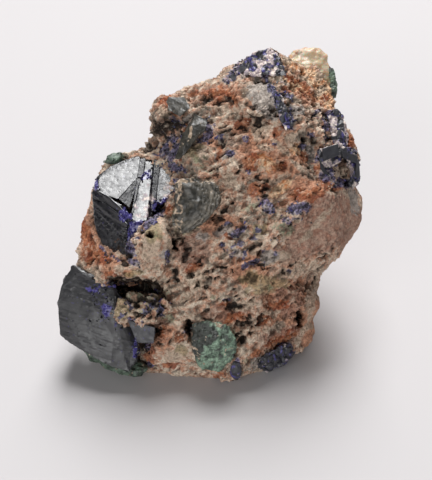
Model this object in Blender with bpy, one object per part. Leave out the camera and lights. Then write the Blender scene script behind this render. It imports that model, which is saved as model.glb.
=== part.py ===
"""A cabinet-sized mineral specimen: azurite, malachite and pale calcite on an iron-stained matrix.

The display face leans back from upright. Its points are drawn as (u, v, w) in millimetres: u to the right
and v up on the display plane, as an eye in front of it sees them, and w the depth behind that plane. Points
of the back and the foot are plain (x, y, z) in millimetres over the floor, +Y to the back and +Z up.
"""

import math

import bmesh
import bpy
from mathutils import Matrix, Vector, noise

MM = 0.001

# Driving dimensions, in millimetres and degrees.
FACE_LEAN = 35.0
FACE_HEIGHT = 20.9
EYE_DISTANCE = 320.0
SEAT_GAP = 0.3
CENTRE_SHIFT = (0.67, -2.74)

LUMP_VOXEL = 0.9
MATRIX_TRIANGLES = 4520
NODULE_VOXEL = 0.4
ROUGH_COARSE = (8.0, 1.1, 0.3)
ROUGH_FINE = (3.6, 0.9, 0.15)
NODULE_ROUGH = (2.2, 0.45, 0.1)

# The matrix is the union of these lumps. "face" points are (u, v, w), "floor" points are (x, y, z).
MATRIX_LUMPS = {
    "trunk": {
        "face": [
            (8, 32, -7), (15, 21, -12.4), (4, 18, -12.8), (-5, 22, -9), (18, 8, -12.4), (6, 4, -13.5),
            (-6, 8, -12), (8, -10, -12.5), (-4, -8, -13), (-10, 0, -12), (14, -6, -10), (6, -20, -10),
            (-8, -20, -11), (0, -26.5, -7), (10, -23.5, -5), (21, 28, 0), (23.5, 18, -2), (24.5, 6, 0),
            (19, -9, 2), (17.5, -17, 5), (-12, -25, -5), (-22, -10, -2), (-22, 2, 0), (-15, 14, 0),
            (-9, 25, 0), (1, 30, 0),
        ],
        "floor": [
            (-17, -13, -2), (-6, -16, -2), (10, -15, -2), (16, -4, -2), (14, 13, -2), (-13, 12, -2),
            (-20, 0, -1), (-20, 14, 12), (17, 18, 12), (-19, 20, 22), (20, 23, 24), (-9, 24, 38),
            (19.4, 26.4, 41), (2, 26, 46), (0, 27, 22),
        ],
    },
    "crest": {
        "face": [
            (3, 33.8, -5), (6.8, 36.8, -6), (10.2, 38.4, -6.4), (13, 36.4, -5), (13.6, 31, -10),
            (14.8, 27, -12), (15.6, 22.6, -13), (5, 26, -11), (6, 32, -8.4), (17, 35.6, -1),
            (18.8, 34.6, 0), (20.8, 33, 0.6), (22.8, 29.8, 1), (23.8, 27, 1.4), (21.4, 20, -9.6),
            (10, 34, 8), (20, 28, 10),
        ],
        "floor": [],
    },
    "face_slab": {
        "face": [
            (4, 31.6, -8.8), (10.4, 32.4, -9.6), (13, 28, -12.6), (12.4, 23.6, -13.4), (6, 23.2, -12.8),
            (3.6, 27, -11.6), (8, 28, -8),
        ],
        "floor": [],
    },
    "shoulder": {
        "face": [
            (-13.6, 21, -4), (-13.2, 24, -4), (-11.6, 27.6, -4), (-10, 29.2, -4), (-6.4, 30.4, -4),
            (-2, 30, -5), (0, 27, -9), (-6, 24, -9), (-10.5, 22.5, -8), (-3, 20, -10), (-11, 24, 6),
            (-5, 29, 6), (2, 28, 6),
        ],
        "floor": [],
    },
    "spur": {
        "face": [
            (-3, 30.6, -3), (-1, 31.8, -3), (1, 32, -4), (4, 33.4, -4), (4, 28, -9), (-2, 28, -8),
            (0, 29.6, 5), (5, 31, 5),
        ],
        "floor": [],
    },
    "flank": {
        "face": [
            (-25.4, 5, -5), (-27.2, 0, -5.5), (-28, -3, -6), (-28, -6, -6), (-25, -8, -9), (-20, -9, -12),
            (-12, -9, -13), (-12, 2, -13), (-18, 0, -11.5), (-23, 1, -9), (-24.6, 9.5, -3), (-22, 14, -1),
            (-14, 18, -2), (-20, -4, 6), (-22, 6, 6), (-14, 12, 8),
        ],
        "floor": [],
    },
    "crown_seat": {
        "face": [
            (-25.2, 3.4, -5), (-25.4, 6, -4.6), (-25, 8.6, -4.4), (-23.8, 11, -3.4), (-22.6, 13.6, -2.4),
            (-20.8, 15.8, -1.6), (-18.2, 16.6, -1.4), (-15, 16.4, -2), (-11, 17, -4), (-20, 8, -4),
            (-14, 10, -5), (-22, 8, 6), (-16, 14, 6),
        ],
        "floor": [],
    },
    "boss": {
        "face": [
            (-15, 3.6, -14.2), (-10.8, 4.2, -14.4), (-9.2, 0, -15.4), (-9.2, -4.6, -15.4),
            (-13, -5.8, -15.6), (-16.8, -4, -13.8), (-17.2, 0, -13), (-12, -1, -17), (-12, 0, -6),
        ],
        "floor": [],
    },
    "brow": {
        "face": [
            (-24, -5.4, -9), (-21, -3.8, -11.8), (-16, -4.4, -13.8), (-10.6, -4.8, -15.4),
            (-9, -6.8, -15.6), (-12.4, -8.4, -15.8), (-18.4, -8.4, -14.2), (-22.8, -7.8, -11),
            (-16, -6, -6),
        ],
        "floor": [],
    },
    "rib": {
        "face": [
            (24, 14.6, -10), (18.8, 10.2, -14.4), (16.6, 4, -15.4), (9.6, -1.2, -15.4), (8.4, -2.6, -14.4),
            (16, 1.6, -13.8), (20, 8.6, -12.6), (24.4, 13, -8.6), (18, 6, -9),
        ],
        "floor": [],
    },
    "ledge": {
        "face": [
            (8.4, -6.4, -14), (14.4, -4.4, -13.4), (21.6, -3.6, -5.4), (22, -5, -4.8), (15, -6.6, -12.6),
            (9, -8, -13.6), (15, -5, -6),
        ],
        "floor": [],
    },
    "lobe": {
        "face": [
            (26, 11, -2), (28.4, 9, -1), (29, 7.2, 0), (28.4, 4.4, -1), (26.4, 0.4, -2), (24.2, -3, -3),
            (20.4, -7.4, -5), (15, -6.6, -11.6), (10, -4, -13.4), (17, 4, -13.8), (20, 9, -12.8),
            (23.5, 13, -9), (25, 4, -8.6), (21.6, -3, -8.6), (23, 2, 10), (20, -6, 8), (25, 9, 9),
        ],
        "floor": [],
    },
    "right_foot": {
        "face": [
            (19.6, -8.6, -1), (20.6, -12, 1), (20.4, -15, 2), (19.2, -18.4, 3), (17.4, -20.2, 3),
            (14.4, -23, 1), (11.5, -24.6, -1), (9, -18, -9), (12, -10, -10), (16, -12, -7), (8, -24, -5),
            (16, -10, 10), (15, -18, 10),
        ],
        "floor": [],
    },
    "sill": {
        "face": [
            (-14, -25.2, -6), (-9.4, -26.8, -6), (-3.4, -27.4, -6), (1.4, -28.2, -5), (3.6, -28, -5),
            (6, -25.6, -6), (9.6, -19, -9), (6, -16, -11), (-8, -17, -12), (-13, -19, -11),
            (-14.4, -22, -9), (-1, -22, -11.5), (4, -23, -9), (0, -20, 4),
        ],
        "floor": [],
    },
    "shelf": {
        "face": [
            (-21.4, -11.6, -11), (-21, -15.4, -11), (-17.4, -17.2, -12.6), (-12, -16.6, -14),
            (-8, -14, -14.6), (-9, -11.8, -14), (-15, -12, -13.2), (-16, -14, 0),
        ],
        "floor": [],
    },
    "knot_root": {
        "face": [
            (21, 26, -5), (25, 24.2, -2.5), (26.4, 21.2, -1.6), (28, 18.8, -1.2), (28.2, 12, -2),
            (25, 10.6, -4), (20, 13, -10), (20, 20, -9), (24, 15, -8), (24, 18, 6), (26.4, 17, 4),
        ],
        "floor": [],
    },
}

# Hollows of the matrix: each is the hull of its points, taken out.
MATRIX_HOLLOWS = {
    "cavern": [
        (-22.4, -8.8, -14), (-18, -8.6, -15.4), (-10.6, -8.8, -16.6), (-10, -11.4, -16.4),
        (-14, -11.8, -15.4), (-21, -11.2, -14), (-20.5, -9.2, -7), (-12.5, -9, -8), (-12.5, -11, -8),
    ],
    "cleft": [
        (-9, 2.6, -16.4), (-7, 1.6, -16), (-7.4, -3.6, -16.5), (-8.8, -4.4, -16.8), (-8.2, -0.6, -9),
    ],
    "nook": [
        (-13, 22.8, -9.5), (-6.8, 24, -10), (-4.6, 20.6, -12), (-9, 17, -9.5), (-14, 18.6, -6),
        (-11.4, 21, -4), (-8, 20.4, -4.5),
    ],
    "slot": [
        (-2.2, -7.4, -14.5), (-0.6, -7.4, -14.5), (-0.4, -9.8, -14.5), (-2, -10.2, -14.5),
        (-1.2, -8.6, -9.5),
    ],
    "rift": [
        (16.4, -13.4, -10), (17.2, -15.4, -9), (16, -17, -9), (15.4, -16.6, -10), (16.2, -15.6, -3),
    ],
}

# Crystals: each is a union of hulls, and its faces stay flat.
CRYSTALS = {
    "azurite_crown": [
        [
            (-23.4, 12.2, -6.6), (-22, 13.8, -5.4), (-19.2, 15.7, -4), (-15, 16.4, -3.8), (-15, 11.8, -7),
            (-16.6, 10, -8.2), (-19.4, 8.2, -9.6), (-23.2, 9.6, -8.2), (-24.6, 9.4, -6.5), (-23.4, 6, -6.5),
            (-17.2, 2, -10.5), (-15, 6, -11), (-20, 12, 0), (-15.5, 13, 0), (-18, 2, -2), (-22.5, 6, -1),
        ],
        [
            (-14.8, 16.5, -4), (-11.4, 16.4, -4), (-12.8, 12, -7.4), (-13.4, 2.6, -13.6), (-17, 3.6, -13),
            (-15.2, 12, -7.6), (-16.8, 2, -10.6), (-13.6, 1, -10.8), (-14.5, 13, 0), (-12, 14, 0),
            (-15, 2, -2),
        ],
        [
            (-11.6, 16, -4.2), (-9.2, 13.8, -5.8), (-7.4, 11.8, -7.2), (-9.6, 9.2, -9), (-11.8, 7.8, -10),
            (-13.4, 3.4, -12.4), (-12.2, 4, -9), (-8.8, 9, -5), (-9, 12, 0), (-12, 13, 0), (-12.6, 4, -2),
        ],
        [
            (-24.6, 9.3, -7), (-23.8, 5.6, -7.4), (-23.8, 3, -7.6), (-23.2, 0.4, -7.8), (-21.2, -2, -8.4),
            (-19.2, -3.2, -9.2), (-17.2, -0.2, -11), (-16.8, 3.4, -12), (-19.4, 7, -11), (-22.4, 8.4, -8.8),
            (-18.5, -2.4, -2), (-22.5, 0, -1), (-16.5, 2, -2), (-22.5, 7, -1),
        ],
    ],
    "azurite_prow": [
        [
            (-28.4, -5.4, -7.4), (-29.8, -7.2, -6.8), (-30.8, -9.6, -6.2), (-31.2, -12, -5.8),
            (-31.2, -14.4, -5), (-30.8, -18.8, -4), (-27.8, -21, -5), (-24.2, -23, -6.4),
            (-20.8, -25, -7.6), (-17.6, -26, -8.4), (-16, -24.2, -9.4), (-15.8, -21, -10.2),
            (-17.6, -17, -11), (-20.2, -13.8, -11.8), (-20.4, -9.4, -11.4), (-23.8, -9.2, -10.4),
            (-27.2, -6.4, -8.6), (-28, -9, 1), (-28, -18, 3), (-20, -23, -1), (-19, -12, 0),
        ],
    ],
    "azurite_blade": [
        [
            (-17.4, -16.2, -12.6), (-12.4, -17.6, -13.8), (-12.6, -20.4, -13), (-15.6, -20.4, -12.2),
            (-17, -16.8, -6), (-13, -18, -6), (-13.4, -20, -7),
        ],
    ],
    "azurite_vein": [
        [
            (11.6, 30, -12.2), (13, 29, -12.8), (14.4, 25.6, -14.2), (15.4, 22.6, -14.6), (13.8, 22, -14.6),
            (12.2, 26, -13.8), (12.6, 28, -8), (14.4, 24, -9),
        ],
    ],
    "azurite_knot": [
        [
            (24, 26.2, -3.4), (25.4, 25, -2.4), (25.7, 22.2, -2.2), (26.6, 20.2, -2.6), (26, 17.6, -5),
            (23.6, 18, -6.2), (22.6, 22.4, -5.6), (22.2, 25, -5), (24.6, 24, 0), (25.4, 19, 0),
        ],
        [
            (20.8, 18.2, -10.6), (25, 19.2, -8), (25.2, 15.8, -8.6), (21.8, 14, -11.2), (20.6, 16, -11),
            (21.6, 17.6, -6), (25, 17.6, -3), (22, 14.6, -6),
        ],
        [
            (25.8, 18.6, -7), (28.2, 16.8, -4), (28.6, 14.4, -4), (28, 13.6, -5), (25.8, 16.4, -7.6),
            (25, 17.6, -5), (26.4, 17.6, -2), (28.2, 15, 0),
        ],
        [
            (28.2, 16.4, -4), (28.9, 13, -3.4), (28.6, 11.4, -3.8), (27.2, 10.2, -5.4), (26.6, 11.4, -6.4),
            (27.8, 14.4, -5.4), (28, 13, 1), (26.6, 11.4, -1),
        ],
        [
            (24, 22, -3), (25.4, 20, -3), (25, 16, -4), (22.6, 16, -6), (28, 14, -3), (27, 12, -3),
            (24, 16, 1), (24, 21, 1),
        ],
    ],
    "calcite_wedge": [
        [
            (-9.4, 28.6, -8), (-6.4, 28.4, -8.6), (-5.4, 26.4, -10.4), (-7.2, 24.8, -11), (-9.2, 26, -9.6),
            (-9.8, 27.6, -8.4), (-8, 27, -4), (-6.4, 26, -5),
        ],
    ],
    "calcite_blade": [
        [
            (-4.4, 25.4, -10.6), (-1.8, 24, -12), (-2.4, 21.8, -13), (-5, 22.4, -12.4), (-7.4, 19.4, -12),
            (-8.2, 16.4, -12), (-7.2, 16.2, -12.6), (-5.6, 20.6, -13), (-3.6, 23, -7), (-7, 18, -8),
        ],
    ],
}

# Rounded growths: each is the hull of its points, softened and roughened.
NODULES = {
    "calcite_knob": [
        (14.2, 36.8, 3), (15.6, 37.6, 4), (18, 38.4, 4), (20.2, 38.6, 4), (22, 37, 4), (22.8, 34.4, 3.5),
        (23.2, 31, 3), (22.8, 28.4, 4), (17, 33, 1), (15.4, 35, 8), (19.4, 36.4, 9), (21.8, 32, 9),
        (18, 28, 9),
    ],
    "calcite_lens": [
        (-8, 11.4, -13.4), (-4.6, 12.6, -13.6), (-0.6, 11.6, -14), (1.6, 9.4, -14), (0.4, 6.6, -15),
        (-2.6, 3, -15), (-7, 1.2, -14.6), (-9, 3.6, -14), (-4, 7.6, -15.6), (-6, 9.6, -9), (-2, 8, -9),
        (-6, 4, -9),
    ],
    "malachite_nodule": [
        (-4.6, -17, -13), (-1.6, -16.2, -13.4), (2.6, -17.4, -13.2), (4, -20.4, -12.8), (3.4, -23.6, -11.2),
        (0.6, -26.2, -9.4), (-3, -25.8, -10), (-4.8, -22.4, -12), (-0.5, -21, -14.2), (-0.6, -20, -6),
        (0, -24, -5),
    ],
    "malachite_foot": [
        (-26.4, -21.8, -2.6), (-25.2, -23.8, -1.4), (-22.6, -24.6, -2.8), (-20, -26, -4.2),
        (-17.4, -27.2, -5), (-14.8, -26.8, -5), (-13.6, -25.6, -6), (-16, -26.4, -6.8), (-21, -24.6, -4.8),
        (-24, -20, 3), (-16, -24, 2), (-14.6, -24.6, 0),
    ],
    "azurite_toe": [
        (8.4, -24, -8), (10.6, -22.4, -7.4), (13.4, -21, -5), (15.4, -20.4, -2.6), (15.6, -22.6, -1.6),
        (13.6, -25, -2), (11, -26.2, -2.6), (8.6, -26.2, -4.6), (11, -24, 4),
    ],
    "azurite_crest": [
        (4.6, 34.6, -6.6), (7.2, 37.2, -6.6), (10.2, 38.6, -6.4), (12.6, 37.4, -5.6), (13.8, 33.6, -8.6),
        (12, 33, -10), (8, 32.8, -9.4), (5.4, 33, -8), (9, 35, -3),
    ],
    "azurite_tooth": [
        (3.6, -24, -9.6), (5, -24.2, -9.4), (5, -26.6, -8), (4.2, -28, -6.8), (3, -27, -7.6),
        (4, -25.6, -5),
    ],
    "malachite_button": [
        (-22.4, 15.6, -4.4), (-21.2, 17, -3.4), (-19.4, 17.4, -3), (-18.6, 16.6, -3.2), (-20.4, 15.6, -5),
        (-20.6, 16, 0), (-19, 15.6, 0),
    ],
    "malachite_rind": [
        (22.6, 35.2, 3), (23.6, 33, 2.6), (24, 30, 2.6), (23.8, 27.8, 3), (23, 29, 2.2), (23.4, 31, 8),
        (22.8, 34, 8),
    ],
}
NODULE_TRIANGLES = {
    "calcite_knob": 300,
    "calcite_lens": 300,
    "malachite_nodule": 320,
    "malachite_foot": 260,
    "azurite_toe": 160,
    "azurite_crest": 220,
    "azurite_tooth": 60,
    "malachite_button": 80,
    "malachite_rind": 90,
}

# Base colour (linear), roughness and metallic value of each mineral.
MINERALS = {
    "matrix": ((0.30, 0.19, 0.14), 0.85, 0.0),
    "azurite": ((0.03, 0.03, 0.07), 0.25, 0.1),
    "calcite": ((0.20, 0.19, 0.17), 0.45, 0.0),
    "malachite": ((0.10, 0.22, 0.14), 0.5, 0.0),
}


def seen(u, v, w):
    """World position, in metres, of the point at depth w seen at (u, v) on the display plane."""
    spread = 1.0 + w / EYE_DISTANCE
    lean = math.radians(FACE_LEAN)
    right = u * spread
    up = v * spread
    y = up * math.sin(lean) + w * math.cos(lean)
    z = FACE_HEIGHT + up * math.cos(lean) - w * math.sin(lean)
    return floor(right, y, z)


def floor(x, y, z):
    """World position, in metres, of a point in millimetres over the floor."""
    return Vector((x + CENTRE_SHIFT[0], y + CENTRE_SHIFT[1], z)) * MM


def material(name):
    """The Principled material of one mineral."""
    found = bpy.data.materials.get(name)
    if found:
        return found
    colour, roughness, metallic = MINERALS[name]
    made = bpy.data.materials.new(name)
    made.use_nodes = True
    shader = made.node_tree.nodes["Principled BSDF"]
    shader.inputs["Base Color"].default_value = (*colour, 1.0)
    shader.inputs["Roughness"].default_value = roughness
    shader.inputs["Metallic"].default_value = metallic
    return made


def hull_into(bm, points):
    """Adds the convex hull of the points to bm."""
    verts = [bm.verts.new(p) for p in points]
    made = bmesh.ops.convex_hull(bm, input=verts)
    unused = [g for g in made["geom_interior"] if isinstance(g, bmesh.types.BMVert)]
    bmesh.ops.delete(bm, geom=unused, context="VERTS")


def object_from(bm, name, mineral="matrix"):
    """A new object that holds bm, with its faces pointing out."""
    bmesh.ops.recalc_face_normals(bm, faces=bm.faces)
    mesh = bpy.data.meshes.new(name)
    bm.to_mesh(mesh)
    bm.free()
    mesh.materials.append(material(mineral))
    made = bpy.data.objects.new(name, mesh)
    bpy.context.scene.collection.objects.link(made)
    return made


def apply_modifiers(obj):
    """Replaces the object's mesh by its evaluated one."""
    graph = bpy.context.evaluated_depsgraph_get()
    mesh = bpy.data.meshes.new_from_object(obj.evaluated_get(graph))
    obj.modifiers.clear()
    obj.data = mesh


def apply_boolean(obj, other, operation):
    """Joins the other to obj, or cuts it from obj."""
    boolean = obj.modifiers.new(operation.lower(), "BOOLEAN")
    boolean.operation = operation
    boolean.object = other
    apply_modifiers(obj)


def join(obj, others):
    """Joins the others to obj, and removes them."""
    for other in others:
        apply_boolean(obj, other, "UNION")
        bpy.data.objects.remove(other)


def cut(obj, cutters):
    """Cuts from obj each of the cutters that reaches it."""
    for cutter in cutters:
        if near(obj, cutter):
            apply_boolean(obj, cutter, "DIFFERENCE")


def near(obj, other):
    """True where the bounding boxes of the two meshes meet."""
    a = [v.co for v in obj.data.vertices]
    b = [v.co for v in other.data.vertices]
    return all(
        min(p[i] for p in a) < max(p[i] for p in b) and min(p[i] for p in b) < max(p[i] for p in a)
        for i in range(3)
    )


def fuse(obj, voxel):
    """One skin round all that overlaps in obj."""
    remesh = obj.modifiers.new("fuse", "REMESH")
    remesh.mode = "VOXEL"
    remesh.voxel_size = voxel * MM
    apply_modifiers(obj)


def roughen(obj, wavelength, height, growth, seed):
    """Moves each point out by the growth and by a smooth noise of this wavelength and height, all in mm."""
    bm = bmesh.new()
    bm.from_mesh(obj.data)
    bm.normal_update()
    offset = Vector((seed * 13.7, seed * 7.1, seed * 3.3)) - floor(0, 0, 0) / (wavelength * MM)
    moves = [
        v.normal * (growth + height * noise.noise(v.co / (wavelength * MM) + offset)) * MM for v in bm.verts
    ]
    for vert, move in zip(bm.verts, moves):
        vert.co += move
    bm.to_mesh(obj.data)
    bm.free()


def thin(obj, triangles):
    """Reduces the mesh to about this many triangles."""
    decimate = obj.modifiers.new("thin", "DECIMATE")
    decimate.ratio = triangles / (2.0 * len(obj.data.polygons))
    apply_modifiers(obj)


def drop_chips(obj):
    """Keeps only the largest piece of the mesh whose faces are joined along edges."""
    bm = bmesh.new()
    bm.from_mesh(obj.data)
    bmesh.ops.triangulate(bm, faces=bm.faces)
    left = set(bm.faces)
    largest = set()
    while left:
        piece = set()
        front = [left.pop()]
        while front:
            face = front.pop()
            piece.add(face)
            shared = [edge.link_faces for edge in face.edges if len(edge.link_faces) == 2]
            linked = {other for pair in shared for other in pair} & left
            left -= linked
            front += linked
        largest = max(largest, piece, key=len)
    bmesh.ops.delete(bm, geom=[f for f in bm.faces if f not in largest], context="FACES")
    bm.to_mesh(obj.data)
    bm.free()


def grown_hull(points, turn):
    """A helper solid: the points' hull grown by the gap. The turn keeps two from sharing a corner."""
    bm = bmesh.new()
    ball = Matrix.Rotation(turn, 4, (1.0, 0.6, 0.3))
    bmesh.ops.create_icosphere(bm, subdivisions=1, radius=SEAT_GAP * MM, matrix=ball)
    directions = [v.co.copy() for v in bm.verts]
    bm.clear()
    hull_into(bm, [p + d for p in points for d in directions])
    return object_from(bm, "cutter")


def trim_at_floor(obj):
    """Cuts off what reaches below the floor, and leaves a flat underside there."""
    bm = bmesh.new()
    size = 200.0
    block = Matrix.Translation((0, 0, -size / 2 * MM)) @ Matrix.Scale(size * MM, 4)
    bmesh.ops.create_cube(bm, size=1.0, matrix=block)
    below = object_from(bm, "below_floor")
    cut(obj, [below])
    bpy.data.objects.remove(below)


def build_matrix():
    """The host rock, still without the seats of its crystals."""
    bm = bmesh.new()
    for lump in MATRIX_LUMPS.values():
        hull_into(bm, [seen(*p) for p in lump["face"]] + [floor(*p) for p in lump["floor"]])
    rock = object_from(bm, "matrix")
    fuse(rock, LUMP_VOXEL)
    for points in MATRIX_HOLLOWS.values():
        bm = bmesh.new()
        hull_into(bm, [seen(*p) for p in points])
        hollow = object_from(bm, "hollow")
        cut(rock, [hollow])
        bpy.data.objects.remove(hollow)
    fuse(rock, LUMP_VOXEL)
    roughen(rock, *ROUGH_COARSE, seed=1)
    roughen(rock, *ROUGH_FINE, seed=2)
    thin(rock, MATRIX_TRIANGLES)
    drop_chips(rock)
    return rock


def build_crystal(name, hulls):
    """Makes one crystal group, and returns the solids that cut its seat."""
    parts = []
    seats = []
    for points in hulls:
        spots = [seen(*p) for p in points]
        bm = bmesh.new()
        hull_into(bm, spots)
        parts.append(object_from(bm, name, name.split("_")[0]))
        seats.append(grown_hull(spots, 0.4 + 0.7 * len(seats)))
    join(parts[0], parts[1:])
    return seats


def build_nodule(name, points, seed, seats):
    """Makes one rounded growth, cut back from its neighbours, and returns the solid that cuts its seat."""
    bm = bmesh.new()
    hull_into(bm, [seen(*p) for p in points])
    nodule = object_from(bm, name, name.split("_")[0])
    fuse(nodule, NODULE_VOXEL)
    roughen(nodule, *NODULE_ROUGH, seed=seed)
    thin(nodule, NODULE_TRIANGLES[name])
    seat = grown_hull([v.co.copy() for v in nodule.data.vertices], 0.7 * seed)
    cut(nodule, seats)
    trim_at_floor(nodule)
    return [seat]


def main():
    for old in list(bpy.data.objects):
        bpy.data.objects.remove(old)
    rock = build_matrix()
    seats = []
    for name, hulls in CRYSTALS.items():
        seats += build_crystal(name, hulls)
    for seed, (name, points) in enumerate(NODULES.items()):
        seats += build_nodule(name, points, seed + 10, seats)
    trim_at_floor(rock)
    join(seats[0], seats[1:])
    cut(rock, seats[:1])
    drop_chips(rock)
    bpy.data.objects.remove(seats[0])


main()
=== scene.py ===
"""Looks of a cabinet-sized mineral specimen: azurite, malachite and pale calcite on an iron-stained matrix.

Places on the display face are written (u, v) or (u, v, w) in millimetres: u to the right and v up on the
leaning display plane, as an eye in front of it sees them, and w the depth behind that plane.
Meshes are made in millimetres, and turned to metres when a piece is finished.
"""

import math

import bmesh
import bpy
import numpy as np
from mathutils import Matrix, Vector, noise


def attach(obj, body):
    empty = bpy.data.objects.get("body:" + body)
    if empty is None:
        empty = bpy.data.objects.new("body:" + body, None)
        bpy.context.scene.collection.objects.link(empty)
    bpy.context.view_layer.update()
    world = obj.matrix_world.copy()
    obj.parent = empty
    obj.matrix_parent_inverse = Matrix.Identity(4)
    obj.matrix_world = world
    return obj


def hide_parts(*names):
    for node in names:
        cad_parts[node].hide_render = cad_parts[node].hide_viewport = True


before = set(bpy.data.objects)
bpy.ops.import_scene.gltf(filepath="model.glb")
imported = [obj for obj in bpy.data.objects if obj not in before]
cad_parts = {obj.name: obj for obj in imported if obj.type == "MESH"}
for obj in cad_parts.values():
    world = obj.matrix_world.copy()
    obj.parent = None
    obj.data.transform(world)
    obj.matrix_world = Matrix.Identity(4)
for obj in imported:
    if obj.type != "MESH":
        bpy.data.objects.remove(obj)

bl_info = {
    "name": "Azurite and calcite specimen",
    "version": (1, 0, 0),
    "blender": (4, 5, 0),
    "location": "3D View > Sidebar > Specimen",
    "description": "Makes the rock, crystals and crusts of a mineral specimen, and its stage",
    "category": "Add Mesh",
}

MM = 0.001

# The display plane and the eye in front of it. Here and below, lengths are in millimetres.
FACE_LEAN = math.radians(35.0)
EYE_DISTANCE = 320.0
FACE_CENTRE = np.array((0.67, -2.74, 20.9))
RIGHT = np.array((1.0, 0.0, 0.0))
UP = np.array((0.0, math.sin(FACE_LEAN), math.cos(FACE_LEAN)))
INWARD = np.array((0.0, math.cos(FACE_LEAN), -math.sin(FACE_LEAN)))

# The rock's fabric: its ridges run this way across the display plane. They are this many times as long
# as wide, and go this many times their width into the rock.
FABRIC_TURN = math.radians(30.0)
FABRIC_STRETCH = 2.1
FABRIC_DEPTH = 1.4

# Widths in the rock: its bends, ridges, strings, crumbs, pits and bulges, and its mesh of cement threads.
BEND_WIDTH = 3.4
RIDGE_WIDTH = 2.4
STRING_WIDTH = 1.3
CRUMB_WIDTH = 0.95
PIT_WIDTH = 0.9
BULGE_WIDTH = 5.0
THREAD_MESH = 3.0

# How far parts of the rock stand out, and how deep its openings and the clearings for the crystals go.
BULGE_HEIGHT = 0.4
LUMP_HEIGHT = 0.9
THREAD_HEIGHT = 0.3
CRUST_HEIGHT = 0.15
HOLLOW_DEPTH = 1.0
CLEARING_DEPTH = 1.6
CAVE_DEPTH = 4.5

# The rock's relief sets in between these heights above the floor, so its foot stays flat.
FOOT_RISE = (0.1, 1.2)

# A skin is moved this far out of its CAD solid before it is roughened. The cream knob has the crusts' skin.
AZURITE_SKIN = 0.2
GREY_CALCITE_SKIN = 0.22
CRUST_SKIN = 0.15

# Faces that turn less than the first angle are one face, and edges that turn more than the second are worn.
SAME_FACE = math.radians(3.0)
SHARP_EDGE = math.radians(14.0)

# The crown's edges stay crisp where they turn more than this many degrees.
CROWN_EDGE = 24.0

# Growth lines run at these angles across the crown, the prow and the small crystals, on the display plane.
CROWN_LINES = math.radians(-40.0)
PROW_LINES = math.radians(-16.0)
SMALL_LINES = math.radians(-35.0)

# The prow's worn edges are wider than the other crystals', and those of the cleavage pieces are narrower.
PROW_EDGE = 0.25
CLEAVAGE_EDGE = 0.12

# Point spacing of the cleavage pieces, the lens and the knob.
CLEAVAGE_SPACING = 0.45
LENS_SPACING = 0.3
KNOB_SPACING = 0.33

# Crumbs of rock on azurite, and on the other minerals: their width, and their pale and dark colours.
AZURITE_CRUMBS = (1.7, "E8DAD0", "A4949C")
MINERAL_CRUMBS = (0.9, "CCB8A2", "94806C")

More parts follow.
